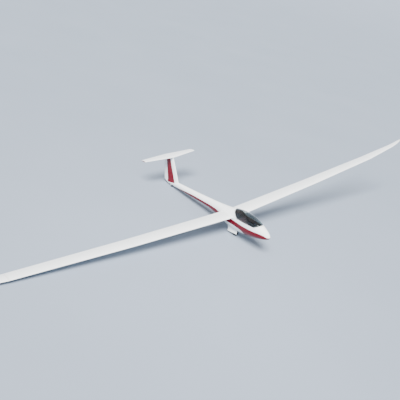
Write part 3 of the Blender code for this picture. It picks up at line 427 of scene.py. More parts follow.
def bridge(shape, rings, finishIndex=0):
    # faces from each ring of points to the next; a ring of one point closes an end
    around = max(len(ring) for ring in rings)
    for first, second in zip(rings, rings[1:]):
        for k in range(around):
            after = (k + 1) % around
            corners = [first[k % len(first)], first[after % len(first)],
                       second[after % len(second)], second[k % len(second)]]
            shape.faces.new(list(dict.fromkeys(corners))).material_index = finishIndex


def addTurned(shape, profile, place, around=32, finishIndex=0):
    # profile of (along, radius) points about the place's z; a zero radius closes an end
    rings = []
    for along, radius in profile:
        spots = roundOutline(radius, around) if radius else [(0, 0)]
        rings.append([shape.verts.new(place @ Vector((*spot, along))) for spot in spots])
    bridge(shape, rings, finishIndex)


def addSweep(shape, path, outline, ups, closed=False):
    # the outline of (side, up) points carried along the path
    rings = []
    count = len(path)
    for k, point in enumerate(path):
        before = path[k - 1] if k or closed else path[0]
        after = path[(k + 1) % count] if k < count - 1 or closed else path[-1]
        along = (after - before).normalized()
        side = along.cross(ups[k]).normalized()
        up = side.cross(along)
        rings.append([shape.verts.new(point + side * a + up * b) for a, b in outline])
    if closed:
        bridge(shape, rings + rings[:1])
    else:
        bridge(shape, rings)
        shape.faces.new(rings[0])
        shape.faces.new(rings[-1])


# camera, floor and light
view = {
    "eye": (-14.158, -14.487, 9.118),     # the photo's viewpoint, aircraft axes
    "aim": (0.084, 2.705, 0.0),
    "lens": 45.8, "farthest": 1500.0,
    "floorSurface": ("8A94A2", "929CA9", 7000, 0.80, 0.90, 60, 0.2),
    # the floor is flat round the aircraft and rises far off, as (height, distance)
    "floorShape": [(0.0, 0.0), (0.0, 150.0), (0.4, 190.0), (2.5, 240.0), (10.0, 320.0), (28.0, 420.0),
                   (60.0, 520.0), (110.0, 620.0), (200.0, 690.0), (310.0, 730.0)],
    "sky": {"Color": linear("EEF2F6"), "Strength": 0.65},
    "sun": {"energy": 11.0, "angle": math.radians(25)},    # a wide sun, for soft shadows
    "sunFrom": (-12, -9, 18),
    "softbox": {"energy": 900.0, "shape": "RECTANGLE", "size": 9.0, "size_y": 4.0},
    "softboxFrom": (-5, -6, 11), "softboxAim": (0, -1, 1),
}


def setCamera():
    eye, aim = parked @ Vector(view["eye"]), parked @ Vector(view["aim"])
    back = (eye - aim).normalized()
    right = (parked.to_3x3() @ Vector((0, 0, 1))).cross(back).normalized()
    data = setAll(bpy.data.cameras.new("viewpoint"), lens=view["lens"], clip_end=view["farthest"])
    camera = putOut("viewpoint", data)
    camera.matrix_world = placed(eye, right, back.cross(right), back)
    bpy.context.scene.camera = camera


def addLamp(name, kind, place, aim, settings):
    lamp = putOut(name, setAll(bpy.data.lights.new(name, kind), **settings))
    lamp.location = place
    lamp.rotation_euler = (Vector(place) - Vector(aim)).to_track_quat("Z", "Y").to_euler()
    lamp.visible_glossy = False            # not mirrored as a white patch in the canopy


def setStudio():
    shape = bmesh.new()
    addTurned(shape, view["floorShape"], Matrix.Identity(4), 96)
    floor = putOut("studio_floor", meshOf("studio_floor", shape))
    floor.data.shade_smooth()
    floor.data.materials.append(liveMaterial("matt painted floor", {}, *view["floorSurface"])[0])
    world = bpy.data.worlds.new("studio")
    world.use_nodes = True
    plug(world.node_tree.nodes["Background"], view["sky"])
    bpy.context.scene.world = world
    addLamp("key", "SUN", view["sunFrom"], (0, 0, 0), view["sun"])
    addLamp("softbox", "AREA", view["softboxFrom"], view["softboxAim"], view["softbox"])


setCamera()
setStudio()
print("camera, floor and light set")


# frame nodes that keep their shape, by finish and edge radius in metres; a name that ends in _ has both sides
fair = {"weld": 0.00005, "edgeAngle": 30}
dressed = [
    ("striped", None, ["fuselage_pod", "tail_boom"]),
    ("darkTipped", None, ["tailplane"]),
    ("gelcoat", None, ["rudder", "elevator", "canopy_frame", "gear_door_", "wing_inner_", "wing_outer_",
                       "wing_tip_", "flap_", "aileron_"]),
    ("acrylic", None, ["canopy_glass"]),
    ("scraped black nylon", 0.002, ["tip_skid_"]),
    # the seat shell takes the same cockpit paint, darkened partly as painted shade
    ("spattered cockpit paint, darkened as painted shade", None, ["seat_shell"]),
    ("rubbed black glass laminate", 0.003, ["side_ledge_"]),
    ("grained black vinyl", 0.004, ["instrument_console"]),
    ("crackle lacquered sheet", 0.0006, ["instrument_panel"]),
    ("zinc plated steel", None, ["gear_legs"]),
    ("zinc plated steel", 0.001, ["main_axle"]),
    ("zinc plated steel", 0.0006, ["tail_axle"]),
]


def fairTree():
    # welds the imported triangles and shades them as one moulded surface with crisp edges
    tree = bpy.data.node_groups.new("fair surface", "GeometryNodeTree")
    for way in ("INPUT", "OUTPUT"):
        tree.interface.new_socket("Geometry", in_out=way, socket_type="NodeSocketGeometry")
    start = addNode(tree, "NodeGroupInput")
    welded = addNode(tree, "GeometryNodeMergeByDistance", {
        "Geometry": start.outputs[0], "Distance": fair["weld"]})
    plain = addNode(tree, "GeometryNodeRemoveAttribute", {
        "Geometry": welded.outputs[0], "Name": "custom_normal"})
    smooth = addNode(tree, "GeometryNodeSetShadeSmooth", {
        "Geometry": plain.outputs[0], "Shade Smooth": True}, domain="FACE")
    angle = addNode(tree, "GeometryNodeInputMeshEdgeAngle").outputs["Unsigned Angle"]
    steep = addNode(tree, "FunctionNodeCompare", {0: angle, 1: math.radians(fair["edgeAngle"])},
                    data_type="FLOAT", operation="GREATER_THAN")
    crisp = addNode(tree, "GeometryNodeSetShadeSmooth", {
        "Geometry": smooth.outputs[0], "Selection": steep.outputs[0], "Shade Smooth": False}, domain="EDGE")
    addNode(tree, "NodeGroupOutput", {0: crisp.outputs[0]})
    return tree


def dress(node, entry, edge):
    piece = frame["nodes"][node]
    for slot in piece.material_slots:
        slot.material = finish[entry]
    modify(piece, "fair surface", "NODES", node_group=fairSurface)
    if edge:
        modify(piece, "edge radius", "BEVEL", width=edge, segments=2, limit_method="ANGLE",
               angle_limit=math.radians(50), harden_normals=True)
    modify(piece, "even shading", "WEIGHTED_NORMAL", keep_sharp=True)


fairSurface = fairTree()
for entry, edge, nodes in dressed:
    for node in nodes:
        for side in sides if node.endswith("_") else [""]:
            dress(node + side, entry, edge)
print("shells and fittings finished")


# wheels: treaded tyres, and hubs with their bolts and brake disc
wheels = {
    "main_wheel": {"radius": 0.1940, "rim": 0.105, "width": 0.120, "bore": 0.0130, "disc": 0.078,
                   "grooves": 4, "groove": 0.0045, "deep": 0.004, "bolts": 6, "bolt": 0.0055},
    "tail_wheel": {"radius": 0.0893, "rim": 0.048, "width": 0.052, "bore": 0.0075, "disc": 0.0,
                   "grooves": 2, "groove": 0.0035, "deep": 0.0025, "bolts": 5, "bolt": 0.0028},
}
# what both have, as shares of the tyre's wall and width, the rim's radius and the bolts' size
wheelShape = {
    "steps": 60, "shoulder": 0.35, "crown": 0.75, "tread": 1.1, "heel": 0.40,
    "boltRing": 0.60, "boltFoot": 0.070, "boltHigh": 0.075, "washer": (1.7, 0.35),
    "disc": (0.22, 0.25, 0.62),            # its two faces along the axle, its hole
    "valve": (0.82, 0.26, 0.14), "valveSize": (0.004, 0.0030, 0.0022),    # lean, foot and tip in metres
    "slack": 0.0004,                       # metres, at the grooves' sides and between rim and tyre
}


def wheelPlace(wheel):
    low, high = levelBox(wheel + "_hub")
    return Matrix.Translation((low + high) / 2) @ Matrix.Rotation(math.pi / 2, 4, "Y")


def addTyre(name, spec):
    # crown and sidewalls on one profile, with grooves sunk round the tread
    shape = bmesh.new()
    shoulder = spec["rim"] + wheelShape["shoulder"] * (spec["radius"] - spec["rim"])
    half, heel = spec["width"] / 2, wheelShape["heel"] * spec["width"]
    profile = []
    for k in range(wheelShape["steps"] + 1):
        turn = math.pi * k / wheelShape["steps"]
        across = -half * math.cos(turn)
        radius = shoulder + (spec["radius"] - shoulder) * max(math.sin(turn), 0.0) ** wheelShape["crown"]
        for groove in range(spec["grooves"]):
            middle = half * wheelShape["tread"] * ((groove + 0.5) / spec["grooves"] - 0.5)
            if abs(across - middle) < spec["groove"] / 2 + wheelShape["slack"]:
                radius -= spec["deep"]
        profile.append((across, radius))
    profile += [(heel, spec["rim"]), (-heel, spec["rim"]), profile[0]]
    addTurned(shape, profile, wheelPlace(name), 96)
    meshPiece(name + "_tread", weld(shape), ["vulcanised rubber"], name, name + "_tyre", 40)


def addHub(name, spec):
    shape = bmesh.new()
    place = wheelPlace(name)
    outer, width, bore = spec["rim"] - wheelShape["slack"], spec["width"], spec["bore"]
    half = [(0.32 * width, bore), (0.32 * width, bore * 2.2), (0.10 * width, bore * 2.6),
            (0.08 * width, outer * 0.70), (0.10 * width, outer * 0.80), (0.30 * width, outer * 0.86),
            (0.37 * width, outer * 0.90), (0.40 * width, outer * 0.97), (0.40 * width, outer)]
    profile = [(-along, radius) for along, radius in half] + half[::-1]
    addTurned(shape, profile + profile[:1], place, 72)
    weld(shape)
    wide, high = wheelShape["washer"]
    for side in (1, -1):
        for x, y in roundOutline(outer * wheelShape["boltRing"], spec["bolts"]):
            foot = Vector((x, y, side * wheelShape["boltFoot"] * width))
            rise = Vector((0, 0, side * wheelShape["boltHigh"] * width))
            addRod(shape, place @ foot, place @ (foot + rise), spec["bolt"], around=6, finishIndex=1)
            addRod(shape, place @ foot, place @ (foot + rise * high), spec["bolt"] * wide,
                   around=16, finishIndex=1)
    disc = spec["disc"]
    if disc:
        near, far, hole = wheelShape["disc"]
        ring = [(near * width, disc * hole), (near * width, disc),
                (far * width, disc), (far * width, disc * hole)]
        addTurned(shape, ring + ring[:1], place, 48, 1)
    out, low, high = wheelShape["valve"]
    lean, wide, tip = wheelShape["valveSize"]
    valve = Vector((outer * out, 0.0, low * width))
    addRod(shape, place @ valve, place @ (valve + Vector((-lean, 0, high * width))), wide, tip, 12, 2)
    meshPiece(name + "_rim", shape, ["clear anodised alloy", "zinc plated steel", "moulded black knob"],
              name, name + "_hub", 32)


for name, spec in wheels.items():
    addTyre(name, spec)
    addHub(name, spec)
print("wheels finished")


# airbrake blades: a drilled plate under a white cap that closes the slot
brake = {"cap": 0.0030, "plate": 0.0040, "holes": 15, "hole": 0.0200, "rim": 4}


def plateCell(shape, place, middle, half):
    # one cell of the plate in the place's x and z with a round hole through it
    edge = []
    for k in range(4):
        first, last = Vector(squareCorners[k]), Vector(squareCorners[(k + 1) % 4])
        edge += [first.lerp(last, step / brake["rim"]) for step in range(brake["rim"])]
    outer = [middle + Vector((p.x * half.x, p.y * half.y)) for p in edge]
    inner = [middle + (p - middle).normalized() * brake["hole"] for p in outer]
    face = brake["plate"] / 2
    rings = [[shape.verts.new(place @ Vector((p.x, y, p.y))) for p in line]
             for line, y in ((outer, face), (inner, face), (inner, -face), (outer, -face))]
    bridge(shape, rings)
    for k in range(len(edge)):
        after = (k + 1) % len(edge)
        if abs(edge[k].lerp(edge[after], 0.5).y) > 0.999:
            shape.faces.new((rings[0][k], rings[3][k], rings[3][after], rings[0][after]))


def addBrakes():
    aft = Vector((0, 1, 0))
    for side in sides:
        name = "airbrake_" + side
        up = (level.to_3x3() @ Vector(joints[name + "_slide"]["axis"])).normalized()
        axes = Matrix((aft.cross(up), aft, up))
        low, high = span([axes @ (level @ v.co) for v in frame["nodes"][name].data.vertices])
        turn = axes.transposed()
        top = Vector(((low.x + high.x) / 2, (low.y + high.y) / 2, high.z))
        place = Matrix.Translation(turn @ top) @ turn.to_4x4()
        shape = bmesh.new()
        cap = brake["cap"]
        length, width = high.x - low.x, (high.x - low.x) / brake["holes"]
        half = Vector((width / 2, (high.z - low.z - cap) / 2))
        for k in range(brake["holes"]):
            plateCell(shape, place, Vector(((k + 0.5) * width - length / 2, -cap - half.y)), half)
        weld(shape, 0.00001)
        bmesh.ops.holes_fill(shape, edges=[edge for edge in shape.edges if edge.is_boundary])
        addBox(shape, place @ Vector((0, 0, -cap / 2)), (length, high.y - low.y, cap), turn, 1)
        meshPiece("airbrake_blade_" + side, shape, ["clear anodised alloy", "gelcoat"],
                  name, name)


addBrakes()
print("airbrakes finished")


# the joints between wing panels are taped, at these distances out
tape = {"width": 0.038, "thick": 0.00030, "over": 0.00005,
        "joints": {"root": 0.400, "mid": 5.300, "outer": 9.940}}


def keepSkin(shape, kept, lift):
    # only those faces, lifted off along their normals
    bmesh.ops.delete(shape, geom=[face for face in shape.faces if face not in kept], context="FACES")
    shape.normal_update()
    for vert in shape.verts:
        vert.co += vert.normal * lift
    return shape


def skinStrip(node, low, high):
    # the part of a node's skin between two stations
    shape = nodeShape(node)
    for station, outward in ((low, -1), (high, 1)):
        bmesh.ops.bisect_plane(shape, geom=[*shape.verts, *shape.edges, *shape.faces], dist=1e-6,
                               plane_co=(station, 0, 0), plane_no=(outward, 0, 0), clear_outer=True)
    return keepSkin(shape, {face for face in shape.faces if abs(face.normal.x) <= 0.9}, tape["over"])


def thicken(piece, depth):
    modify(piece, "thickness", "SOLIDIFY", thickness=depth, offset=1.0)


def addTapes():
    half = tape["width"] / 2
    for side, way in sides.items():
        panels = ["fuselage_pod"] + [panel + side for panel in ("wing_inner_", "wing_outer_", "wing_tip_")]
        for (name, station), inner, outer in zip(tape["joints"].items(), panels, panels[1:]):
            strips = [skinStrip(node, *sorted((way * start, way * end))) for node, start, end in (
                (inner, station - half, station), (outer, station, station + half))]
            whole = joinShapes(strips)
            piece = meshPiece("tape_" + side + "_" + name, whole, ["white vinyl tape"])
            thicken(piece, tape["thick"])


addTapes()
print("joints taped")


# cockpit lining: a painted skin over all of the pod that shows from inside, its near-black partly painted
# shade, and one inside the canopy's rail
lining = {
    # points in the cockpit, along its length, that the inner faces look at, aircraft axes
    "hearts": [(0.0, aft, up) for aft, up in ((-1.25, 0.10), (-0.90, -0.15), (-0.60, 0.20), (-0.20, 0.22),
                                              (0.00, 0.30), (-0.05, 0.33))],
    "off": 0.0002, "thick": 0.0004, "reach": 0.3165, "bay": (0.125, -0.09, -0.165),
    # the canopy's hinge knuckles and pins stay bare: small faces near their line
    "hingeClear": 0.014, "smallFace": 0.0001,
}


def seenInside(shape):
    # faces turned to one of the points with nothing of the same shape between,
    # and clear of the bay, the wing root and the hinges
    tree = BVHTree.FromBMesh(shape)
    hinge = joints["canopy_hinge"]
    pin, along = level @ Vector(hinge["pos_m"]), (level.to_3x3() @ Vector(hinge["axis"])).normalized()
    half, front, top = lining["bay"]
    seen = set()
    for face in shape.faces:
        middle = face.calc_center_median()
        inBay = abs(middle.x) < half and middle.y > front and middle.z < top
        away = middle - pin
        toPin = (away - along * away.dot(along)).length
        onHinge = toPin < lining["hingeClear"] and face.calc_area() < lining["smallFace"]
        if inBay or onHinge or abs(middle.x) > lining["reach"]:
            continue
        for heart in lining["hearts"]:
            run = Vector(heart) - middle
            way = run.normalized()
            start = middle + face.normal * 0.0005
            if face.normal.dot(way) > 0.02 and not tree.ray_cast(start, way, run.length)[0]:
                seen.add(face)
                break
    return seen


def addLining(name, node, body, entry):
    shape = nodeShape(node)
    keepSkin(shape, seenInside(shape), lining["off"])
    thicken(meshPiece(name, shape, [entry], body, turnOut=False), lining["thick"])


addLining("cockpit_lining", "fuselage_pod", "airframe", "spattered cockpit paint, darkened as painted shade")
addLining("canopy_rail_lining", "canopy_frame", "canopy", "sprayed grey rail enamel")
print("cockpit lined")


# the seat: distances along its line, out to port and above it
seat = {
    "line": [(-0.90, -0.400), (-0.80, -0.425), (-0.66, -0.430), (-0.56, -0.375),
             (-0.42, -0.235), (-0.27, -0.085), (-0.14, 0.045), (-0.11, 0.085)],
    "padFoot": 0.0046,                     # pads start this far above the line
}


def seatRuns():
    points = [Vector((0, aft, up)) for aft, up in seat["line"]]
    runs = [(b - a) for a, b in zip(points, points[1:])]
    ups = [Vector((0, -run.z, run.y)).normalized() for run in runs]
    corners = [ups[0]] + [(a + b).normalized() for a, b in zip(ups, ups[1:])] + [ups[-1]]
    starts = [0.0]
    for run in runs:
        starts.append(starts[-1] + run.length)
    return points, corners, starts


seatPoints, seatUps, seatStarts = seatRuns()


def onSeat(along, out, above):
    # aircraft-axes point of a distance along the seat line, out to port and above it
    k = max(i for i in range(len(seatStarts) - 1) if seatStarts[i] <= max(along, 0.0))
    share = (along - seatStarts[k]) / (seatStarts[k + 1] - seatStarts[k])
    foot = seatPoints[k].lerp(seatPoints[k + 1], share)
    up = seatUps[k].lerp(seatUps[k + 1], min(max(share, 0.0), 1.0)).normalized()
    return foot + up * above + Vector((out, 0, 0))


def seatUp(along, out):
    return (onSeat(along, out, 1.0) - onSeat(along, out, 0.0)).normalized()


# pads: sewn covers over foam, blown up a little by a cloth simulation, then channelled and piped
pads = {
    "seat_cushion": {"from": seatStarts[0], "to": seatStarts[2], "half": 0.150, "thick": 0.032,
                     "channels": 3, "across": False, "fill": 0.7},
    "back_cushion": {"from": seatStarts[4], "to": seatStarts[6], "half": 0.170, "thick": 0.032,
                     "channels": 4, "across": True, "fill": 0.7},
}
padMake = {"voxel": 0.005, "pressure": 4.0, "steps": 20, "cap": 0.008, "shrink": 0.007, "corner": 0.030,
           "channelDeep": 0.0045, "channelWide": 0.0055, "piping": 0.0032, "seam": 0.62}


def roundedBlock(length, width, thick, corner):
    # a block with rounded upright corners and a small radius on its top and foot, from the origin's middle
    shape = bmesh.new()
    outline = []
    for k, spot in enumerate(squareCorners):
        middle = Vector((spot[0] * (length / 2 - corner), spot[1] * (width / 2 - corner)))
        for step in range(7):
            turn = math.pi / 2 * (k + step / 6)
            outline.append(middle + corner * Vector((math.cos(turn), math.sin(turn))))
    small = thick * 0.25
    rings = []
    for height, drawn in ((0.0, small), (small, 0.0), (thick - small, 0.0), (thick, small)):
        rings.append([shape.verts.new((p.x - drawn * p.x / p.length, p.y - drawn * p.y / p.length, height))
                      for p in outline])
    bridge(shape, rings)
    shape.faces.new(rings[0])
    shape.faces.new(rings[-1])
    bmesh.ops.recalc_face_normals(shape, faces=shape.faces)
    return shape


def evaluatedMesh(piece):
    depsgraph = bpy.context.evaluated_depsgraph_get()
    return bpy.data.meshes.new_from_object(piece.evaluated_get(depsgraph), depsgraph=depsgraph)


def blownPad(length, width, thick):
    # flat pad in its own axes: along, out and above, with its middle at zero and its foot on zero
    shrink = padMake["shrink"]
    shape = roundedBlock(length - 2 * shrink, width - 2 * shrink, thick - shrink, padMake["corner"])
    pad = putOut("pad", meshOf("pad", shape))
    modify(pad, "even mesh", "REMESH", mode="VOXEL", voxel_size=padMake["voxel"])
    start = evaluatedMesh(pad)
    pad.modifiers.clear()
    pad.data = start
    cloth = pad.modifiers.new("cover", "CLOTH")
    setAll(cloth.settings, use_pressure=True, uniform_pressure_force=padMake["pressure"])
    cloth.settings.effector_weights.gravity = 0
    setAll(cloth.point_cache, frame_start=1, frame_end=padMake["steps"])
    for step in range(1, padMake["steps"] + 1):
        bpy.context.scene.frame_set(step)
    ended = evaluatedMesh(pad)
    for vert, last in zip(start.vertices, ended.vertices):
        move = last.co - vert.co
        vert.co += move * min(1.0, padMake["cap"] / max(move.length, 1e-9))
    bpy.context.scene.frame_set(1)
    for vert in start.vertices:
        vert.co.z = min(max(vert.co.z, 0.0), thick)
        vert.co.x = min(max(vert.co.x, -length / 2), length / 2)
        vert.co.y = min(max(vert.co.y, -width / 2), width / 2)
    bpy.data.objects.remove(pad)
    made = bmesh.new()
    made.from_mesh(start)
    bmesh.ops.subdivide_edges(made, edges=made.edges, cuts=1, use_grid_fill=True, smooth=0.0)
    bmesh.ops.smooth_vert(made, verts=made.verts, factor=0.5,
                          use_axis_x=True, use_axis_y=True, use_axis_z=True)
    return made


def sewChannels(shape, length, width, count, across):
    reach, line = (length, 0) if across else (width, 1)
    top = max(v.co.z for v in shape.verts)
    for vert in shape.verts:
        side = min(max((vert.co.z / top - 0.5) / 0.3, 0.0), 1.0)
        for k in range(1, count + 1):
            place = reach * (k / (count + 1) - 0.5)
            gap = (vert.co[line] - place) / padMake["channelWide"]
            vert.co.z -= side * padMake["channelDeep"] * math.exp(-gap * gap)


def seamPath(shape, length, width, height):
    # where a level ray from outside meets the pad's side, all the way round
    tree = BVHTree.FromBMesh(shape)
    ways = [Vector((length * x, width * y, 0)).normalized() for x, y in roundOutline(1.0, 72)]
    return [tree.ray_cast(Vector((0, 0, height)) + way, -way)[0] for way in ways]


def addPiping(name, path, ups, radius, entry):
    shape = bmesh.new()
    addSweep(shape, path, roundOutline(radius), ups, closed=True)
    meshPiece(name, shape, [entry])


def addPad(name, spec):
    length, width = spec["to"] - spec["from"], 2 * spec["half"]
    middle = (spec["to"] + spec["from"]) / 2
    flat = blownPad(length, width, spec["thick"])
    seam = seamPath(flat, length, width, spec["thick"] * padMake["seam"])
    sewChannels(flat, length, width, spec["channels"], spec["across"])
    for vert in flat.verts:
        vert.co = onSeat(middle + vert.co.x, vert.co.y, seat["padFoot"] + vert.co.z)
    surface = flat.copy()
    pad = meshPiece(name + "_pad", flat, ["cloth"], replaced=name, sharpest=60)
    path = [onSeat(middle + p.x, p.y, seat["padFoot"] + p.z) for p in seam]
    ups = [seatUp(middle + p.x, p.y) for p in seam]
    addPiping(name + "_piping", path, ups, padMake["piping"], "grained black vinyl")
    return surface


padSurfaces = [addPad(name, spec) for name, spec in pads.items()]


# headrest: a small pillow on the bulkhead behind the pilot
rest = {"lean": (0.06, 0.31), "foot": (0.0145, 0.105), "length": 0.145, "width": 0.170,
        "thick": 0.055, "off": 0.0030, "seam": 0.55, "piping": 0.0026}


def addHeadrest():
    up, out = Vector((0, *rest["lean"])).normalized(), Vector((1, 0, 0))
    ahead = out.cross(up).normalized()
    foot = Vector((0, *rest["foot"])) + ahead * rest["off"] + up * (rest["length"] / 2)
    flat = blownPad(rest["length"], rest["width"], rest["thick"])
    seam = seamPath(flat, rest["length"], rest["width"], rest["thick"] * rest["seam"])
    place = placed(foot, up, out, ahead)
    for vert in flat.verts:
        vert.co = place @ vert.co
    pillow = meshPiece("headrest_pillow", flat, ["grained black vinyl"], replaced="headrest",
                       sharpest=60)
    addPiping("headrest_piping", [place @ p for p in seam], [ahead] * len(seam), rest["piping"], "cloth")


addHeadrest()
print("pads blown and sewn")


# five-point harness laid over the pads, meeting at a turn-to-open buckle
harness = {
    "buckle": seatStarts[3] + 0.030, "wide": 0.044, "thick": 0.0016, "lift": 0.0016, "reel": 0.028,
    "step": 0.008, "bare": 0.0045,         # points along a strap, and its height where nothing lies under it
    # adjusters: bar, thickness, length, bars apart, wider than the strap, above it
    "slide": (0.0035, 0.003, 0.026, 0.011, 0.008, 0.0032),
    # buckle's case and knob as (height, share of the reel's radius),
    # and the knob's bars: long by that radius, wide, thick, how high
    "case": [(0.0, 0.0), (0.0, 1.0), (0.009, 1.0), (0.012, 0.92), (0.012, 0.0)],
    "knob": [(0.0115, 0.0), (0.0115, 0.72), (0.0165, 0.66), (0.0180, 0.5), (0.0180, 0.0)],
    "bars": (1.1, 0.006, 0.004, 0.0195),
    # each strap: start as (along the seat line, out), and the way it leaves the buckle
    "straps": {
        "shoulder_port": ((seatStarts[7] - 0.006, 0.070), (0.030, 0.018)),
        "shoulder_starboard": ((seatStarts[7] - 0.006, -0.070), (0.030, -0.018)),
        "lap_port": ((seatStarts[2] + 0.060, 0.205), (-0.004, 0.032)),
        "lap_starboard": ((seatStarts[2] + 0.060, -0.205), (-0.004, -0.032)),
        "crotch": ((seatStarts[1] + 0.020, 0.0), (-0.032, 0.0)),
    },
}


def laidOn(tree, along, out):
    # height of the pads or the shell above the seat line
    top, foot = onSeat(along, out, 0.12), onSeat(along, out, 0.0)
    hit = tree.ray_cast(top, (foot - top).normalized(), 0.2)[0]
    return (hit - foot).length if hit else harness["bare"]


def addAdjuster(metal, path, ups, k):
    # a three-bar slide on the strap
    along = (path[k + 1] - path[k - 1]).normalized()
    out = along.cross(ups[k]).normalized()
    turn = Matrix((along, out, ups[k])).transposed()
    bar, thick, long, apart, wider, above = harness["slide"]
    wide, middle = harness["wide"] + wider, path[k] + ups[k] * above
    for step in (-apart, 0.0, apart):
        addBox(metal, middle + along * step, (bar, wide, thick), turn)
    for sign in (-1, 1):
        addBox(metal, middle + out * sign * wide / 2, (long, bar, thick), turn)


def addBuckle(metal, height):
    # a round case, and a knob with two bars across it
    reel = harness["reel"]
    place = facing(onSeat(harness["buckle"], 0.0, height + 0.002), seatUp(harness["buckle"], 0.0), "X")
    for k, part in enumerate(("case", "knob")):
        addTurned(metal, [(high, reel * share) for high, share in harness[part]], place, 40, k)
    long, wide, thick, high = harness["bars"]
    for turn in (0, math.pi / 2):
        addBox(metal, place @ Vector((0, 0, high)), (reel * long, wide, thick),
               place.to_3x3() @ Matrix.Rotation(turn, 3, "Z"), 1)
    meshPiece("harness_buckle", metal, ["zinc plated steel", "moulded red knob"])


def addHarness():
    tree = BVHTree.FromBMesh(joinShapes([nodeShape("seat_shell")] + padSurfaces))
    shape, metal = bmesh.new(), bmesh.new()
    half, thick = harness["wide"] / 2, harness["thick"]
    outline = [(-half, 0.0), (-half + 0.001, thick), (half - 0.001, thick), (half, 0.0)]
    for (along, out), (stepAlong, stepOut) in harness["straps"].values():
        start, end = Vector((along, out)), Vector((harness["buckle"] + stepAlong, stepOut))
        count = max(12, int((end - start).length / harness["step"]))
        spots = [start.lerp(end, k / count) for k in range(count + 1)]
        side = Vector((-(end - start).y, (end - start).x)).normalized() * half * 0.9
        heights = [max(laidOn(tree, *(spot + side * sign)) for sign in (-1, 0, 1)) for spot in spots]
        for _ in range(3):
            near = [heights[max(0, k - 2):k + 3] for k in range(count + 1)]
            heights = [max(h, sum(some) / len(some)) for h, some in zip(heights, near)]
        path = [onSeat(s.x, s.y, h + harness["lift"]) for s, h in zip(spots, heights)]
        ups = [seatUp(s.x, s.y) for s in spots]
        addSweep(shape, path, outline, ups)
        addAdjuster(metal, path, ups, int(len(path) * 0.55))
    meshPiece("harness_straps", shape, ["webbing"], sharpest=50)
    addBuckle(metal, laidOn(tree, harness["buckle"], 0.0))


addHarness()
print("harness laid")


# instrument panel: dials in bezels, a flight computer, and a padded roll round the arch
panel = {
    "foot": (0.0, -1.075, -0.120), "up": (0.0, -0.1219, 0.9925), "face": 0.0045,
    # bezel's width, height and edge, the card's height, and the needle's hub: radius and height
    "lip": 0.0060, "stand": 0.0065, "edge": 0.0012, "card": 0.0020, "hub": (0.0026, 0.0016),
    "marks": (24, 0.0007, 0.0004, 0.0038, 0.0022),      # how many, wide, thick, long and short
    "needle": (0.0014, 0.0005, 0.0009, 0.30, 0.86),     # wide, thick, above; middle and length by the radius
    "screw": (0.0022, 0.0014, 0.0042),                  # radius, height, out from the bezel
    # each dial: out to port, up the panel, its radius, and its needle's turn from straight up in degrees
    "dials": [(-0.068, 0.215, 0.030, -60), (0.0, 0.215, 0.030, 20), (0.068, 0.215, 0.030, 95),
              (-0.045, 0.135, 0.042, 140), (0.045, 0.135, 0.042, -35), (-0.125, 0.135, 0.030, 0),
              (0.125, 0.135, 0.030, -90), (0.045, 0.052, 0.030, 180), (0.125, 0.052, 0.030, 40)],
    "screen": (-0.060, 0.052, 0.110, 0.062), "buttons": 4,
    "roll": 0.0085, "archHalf": 0.199, "archHigh": 0.283, "archPower": 0.6,
}
panelFoot, panelUp, port = Vector(panel["foot"]), Vector(panel["up"]).normalized(), Vector((1, 0, 0))
panelAft = panelUp.cross(port)


def panelPlace(out, high):
    # a spot on the panel's face: x to port, y down the panel, z towards the pilot
    spot = panelFoot + panelUp * high + port * out + panelAft * panel["face"]
    return placed(spot, port, -panelUp, panelAft)


def addDial(shape, out, high, radius, needle):
    place = panelPlace(out, high)
    stand, edge, card, inner = panel["stand"], panel["edge"], panel["card"], radius - panel["lip"]
    ring = [(0.0, inner), (0.0, radius), (stand * 0.6, radius), (stand, radius - edge), (stand, inner + edge)]
    addTurned(shape, ring + ring[:1], place, 40, 0)
    rim = inner + 0.0004
    addTurned(shape, [(0.0003, 0.0), (0.0003, rim), (card, rim), (card, 0.0)], place, 40, 1)
    # marks round the card and the needle, as bars: turn, middle's distance, width, length, thickness, height
    bars = []
    count, wide, thick, *lengths = panel["marks"]
    for k in range(count):
        long = lengths[0 if k % 4 == 0 else 1]
        bars.append((math.tau * k / count, inner - edge - long / 2, wide, long, thick, 0.0001))
    wide, thick, above, away, reach = panel["needle"]
    bars.append((math.radians(needle), inner * away, wide, inner * reach, thick, above))
    for angle, away, wide, long, thick, above in bars:
        turn = Matrix.Rotation(-angle, 3, "Z")
        middle = turn @ Vector((0, -away, 0)) + Vector((0, 0, card + above))
        addBox(shape, place @ middle, (wide, long, thick), place.to_3x3() @ turn, 2)
    hub, top = panel["hub"][0], card + panel["hub"][1]
    addTurned(shape, [(card, 0.0), (card, hub), (top, hub - 0.0002), (top, 0.0)], place, 16, 0)
    screw, head, away = panel["screw"]
    for k in range(4):
        way = math.pi / 4 + k * math.pi / 2
        foot = Vector((math.cos(way), math.sin(way), 0)) * (radius + away)
        addRod(shape, place @ foot, place @ (foot + Vector((0, 0, head))), screw, screw * 0.7, 12, 0)


def setIn(shape, block, place, finishIndex):
    # a block of its own axes, set in the shape
    for face in block.faces:
        face.material_index = finishIndex
    bmesh.ops.transform(block, matrix=place, verts=block.verts)
    pour(block, shape)


def addComputer(shape):
    out, high, width, height = panel["screen"]
    place = panelPlace(out, high)
    setIn(shape, roundedBlock(width, height, 0.011, 0.006), place, 0)
    glass = place @ Matrix.Translation((0, -height * 0.07, 0.0106))
    setIn(shape, roundedBlock(width * 0.84, height * 0.66, 0.0010, 0.003), glass, 3)
    for k in range(panel["buttons"]):
        foot = Vector((width * 0.72 * ((k + 0.5) / panel["buttons"] - 0.5), height * 0.38, 0.0108))
        addRod(shape, place @ foot, place @ (foot + Vector((0, 0, 0.0022))), 0.0040, 0.0036, 16, 0)


def addInstruments():
    shape = bmesh.new()
    for dial in panel["dials"]:
        addDial(shape, *dial)
    addComputer(shape)
    finishes = ["black chromed brass", "printed dial card", "white dial enamel", "unlit display glass"]
    meshPiece("instruments", shape, finishes, sharpest=40)


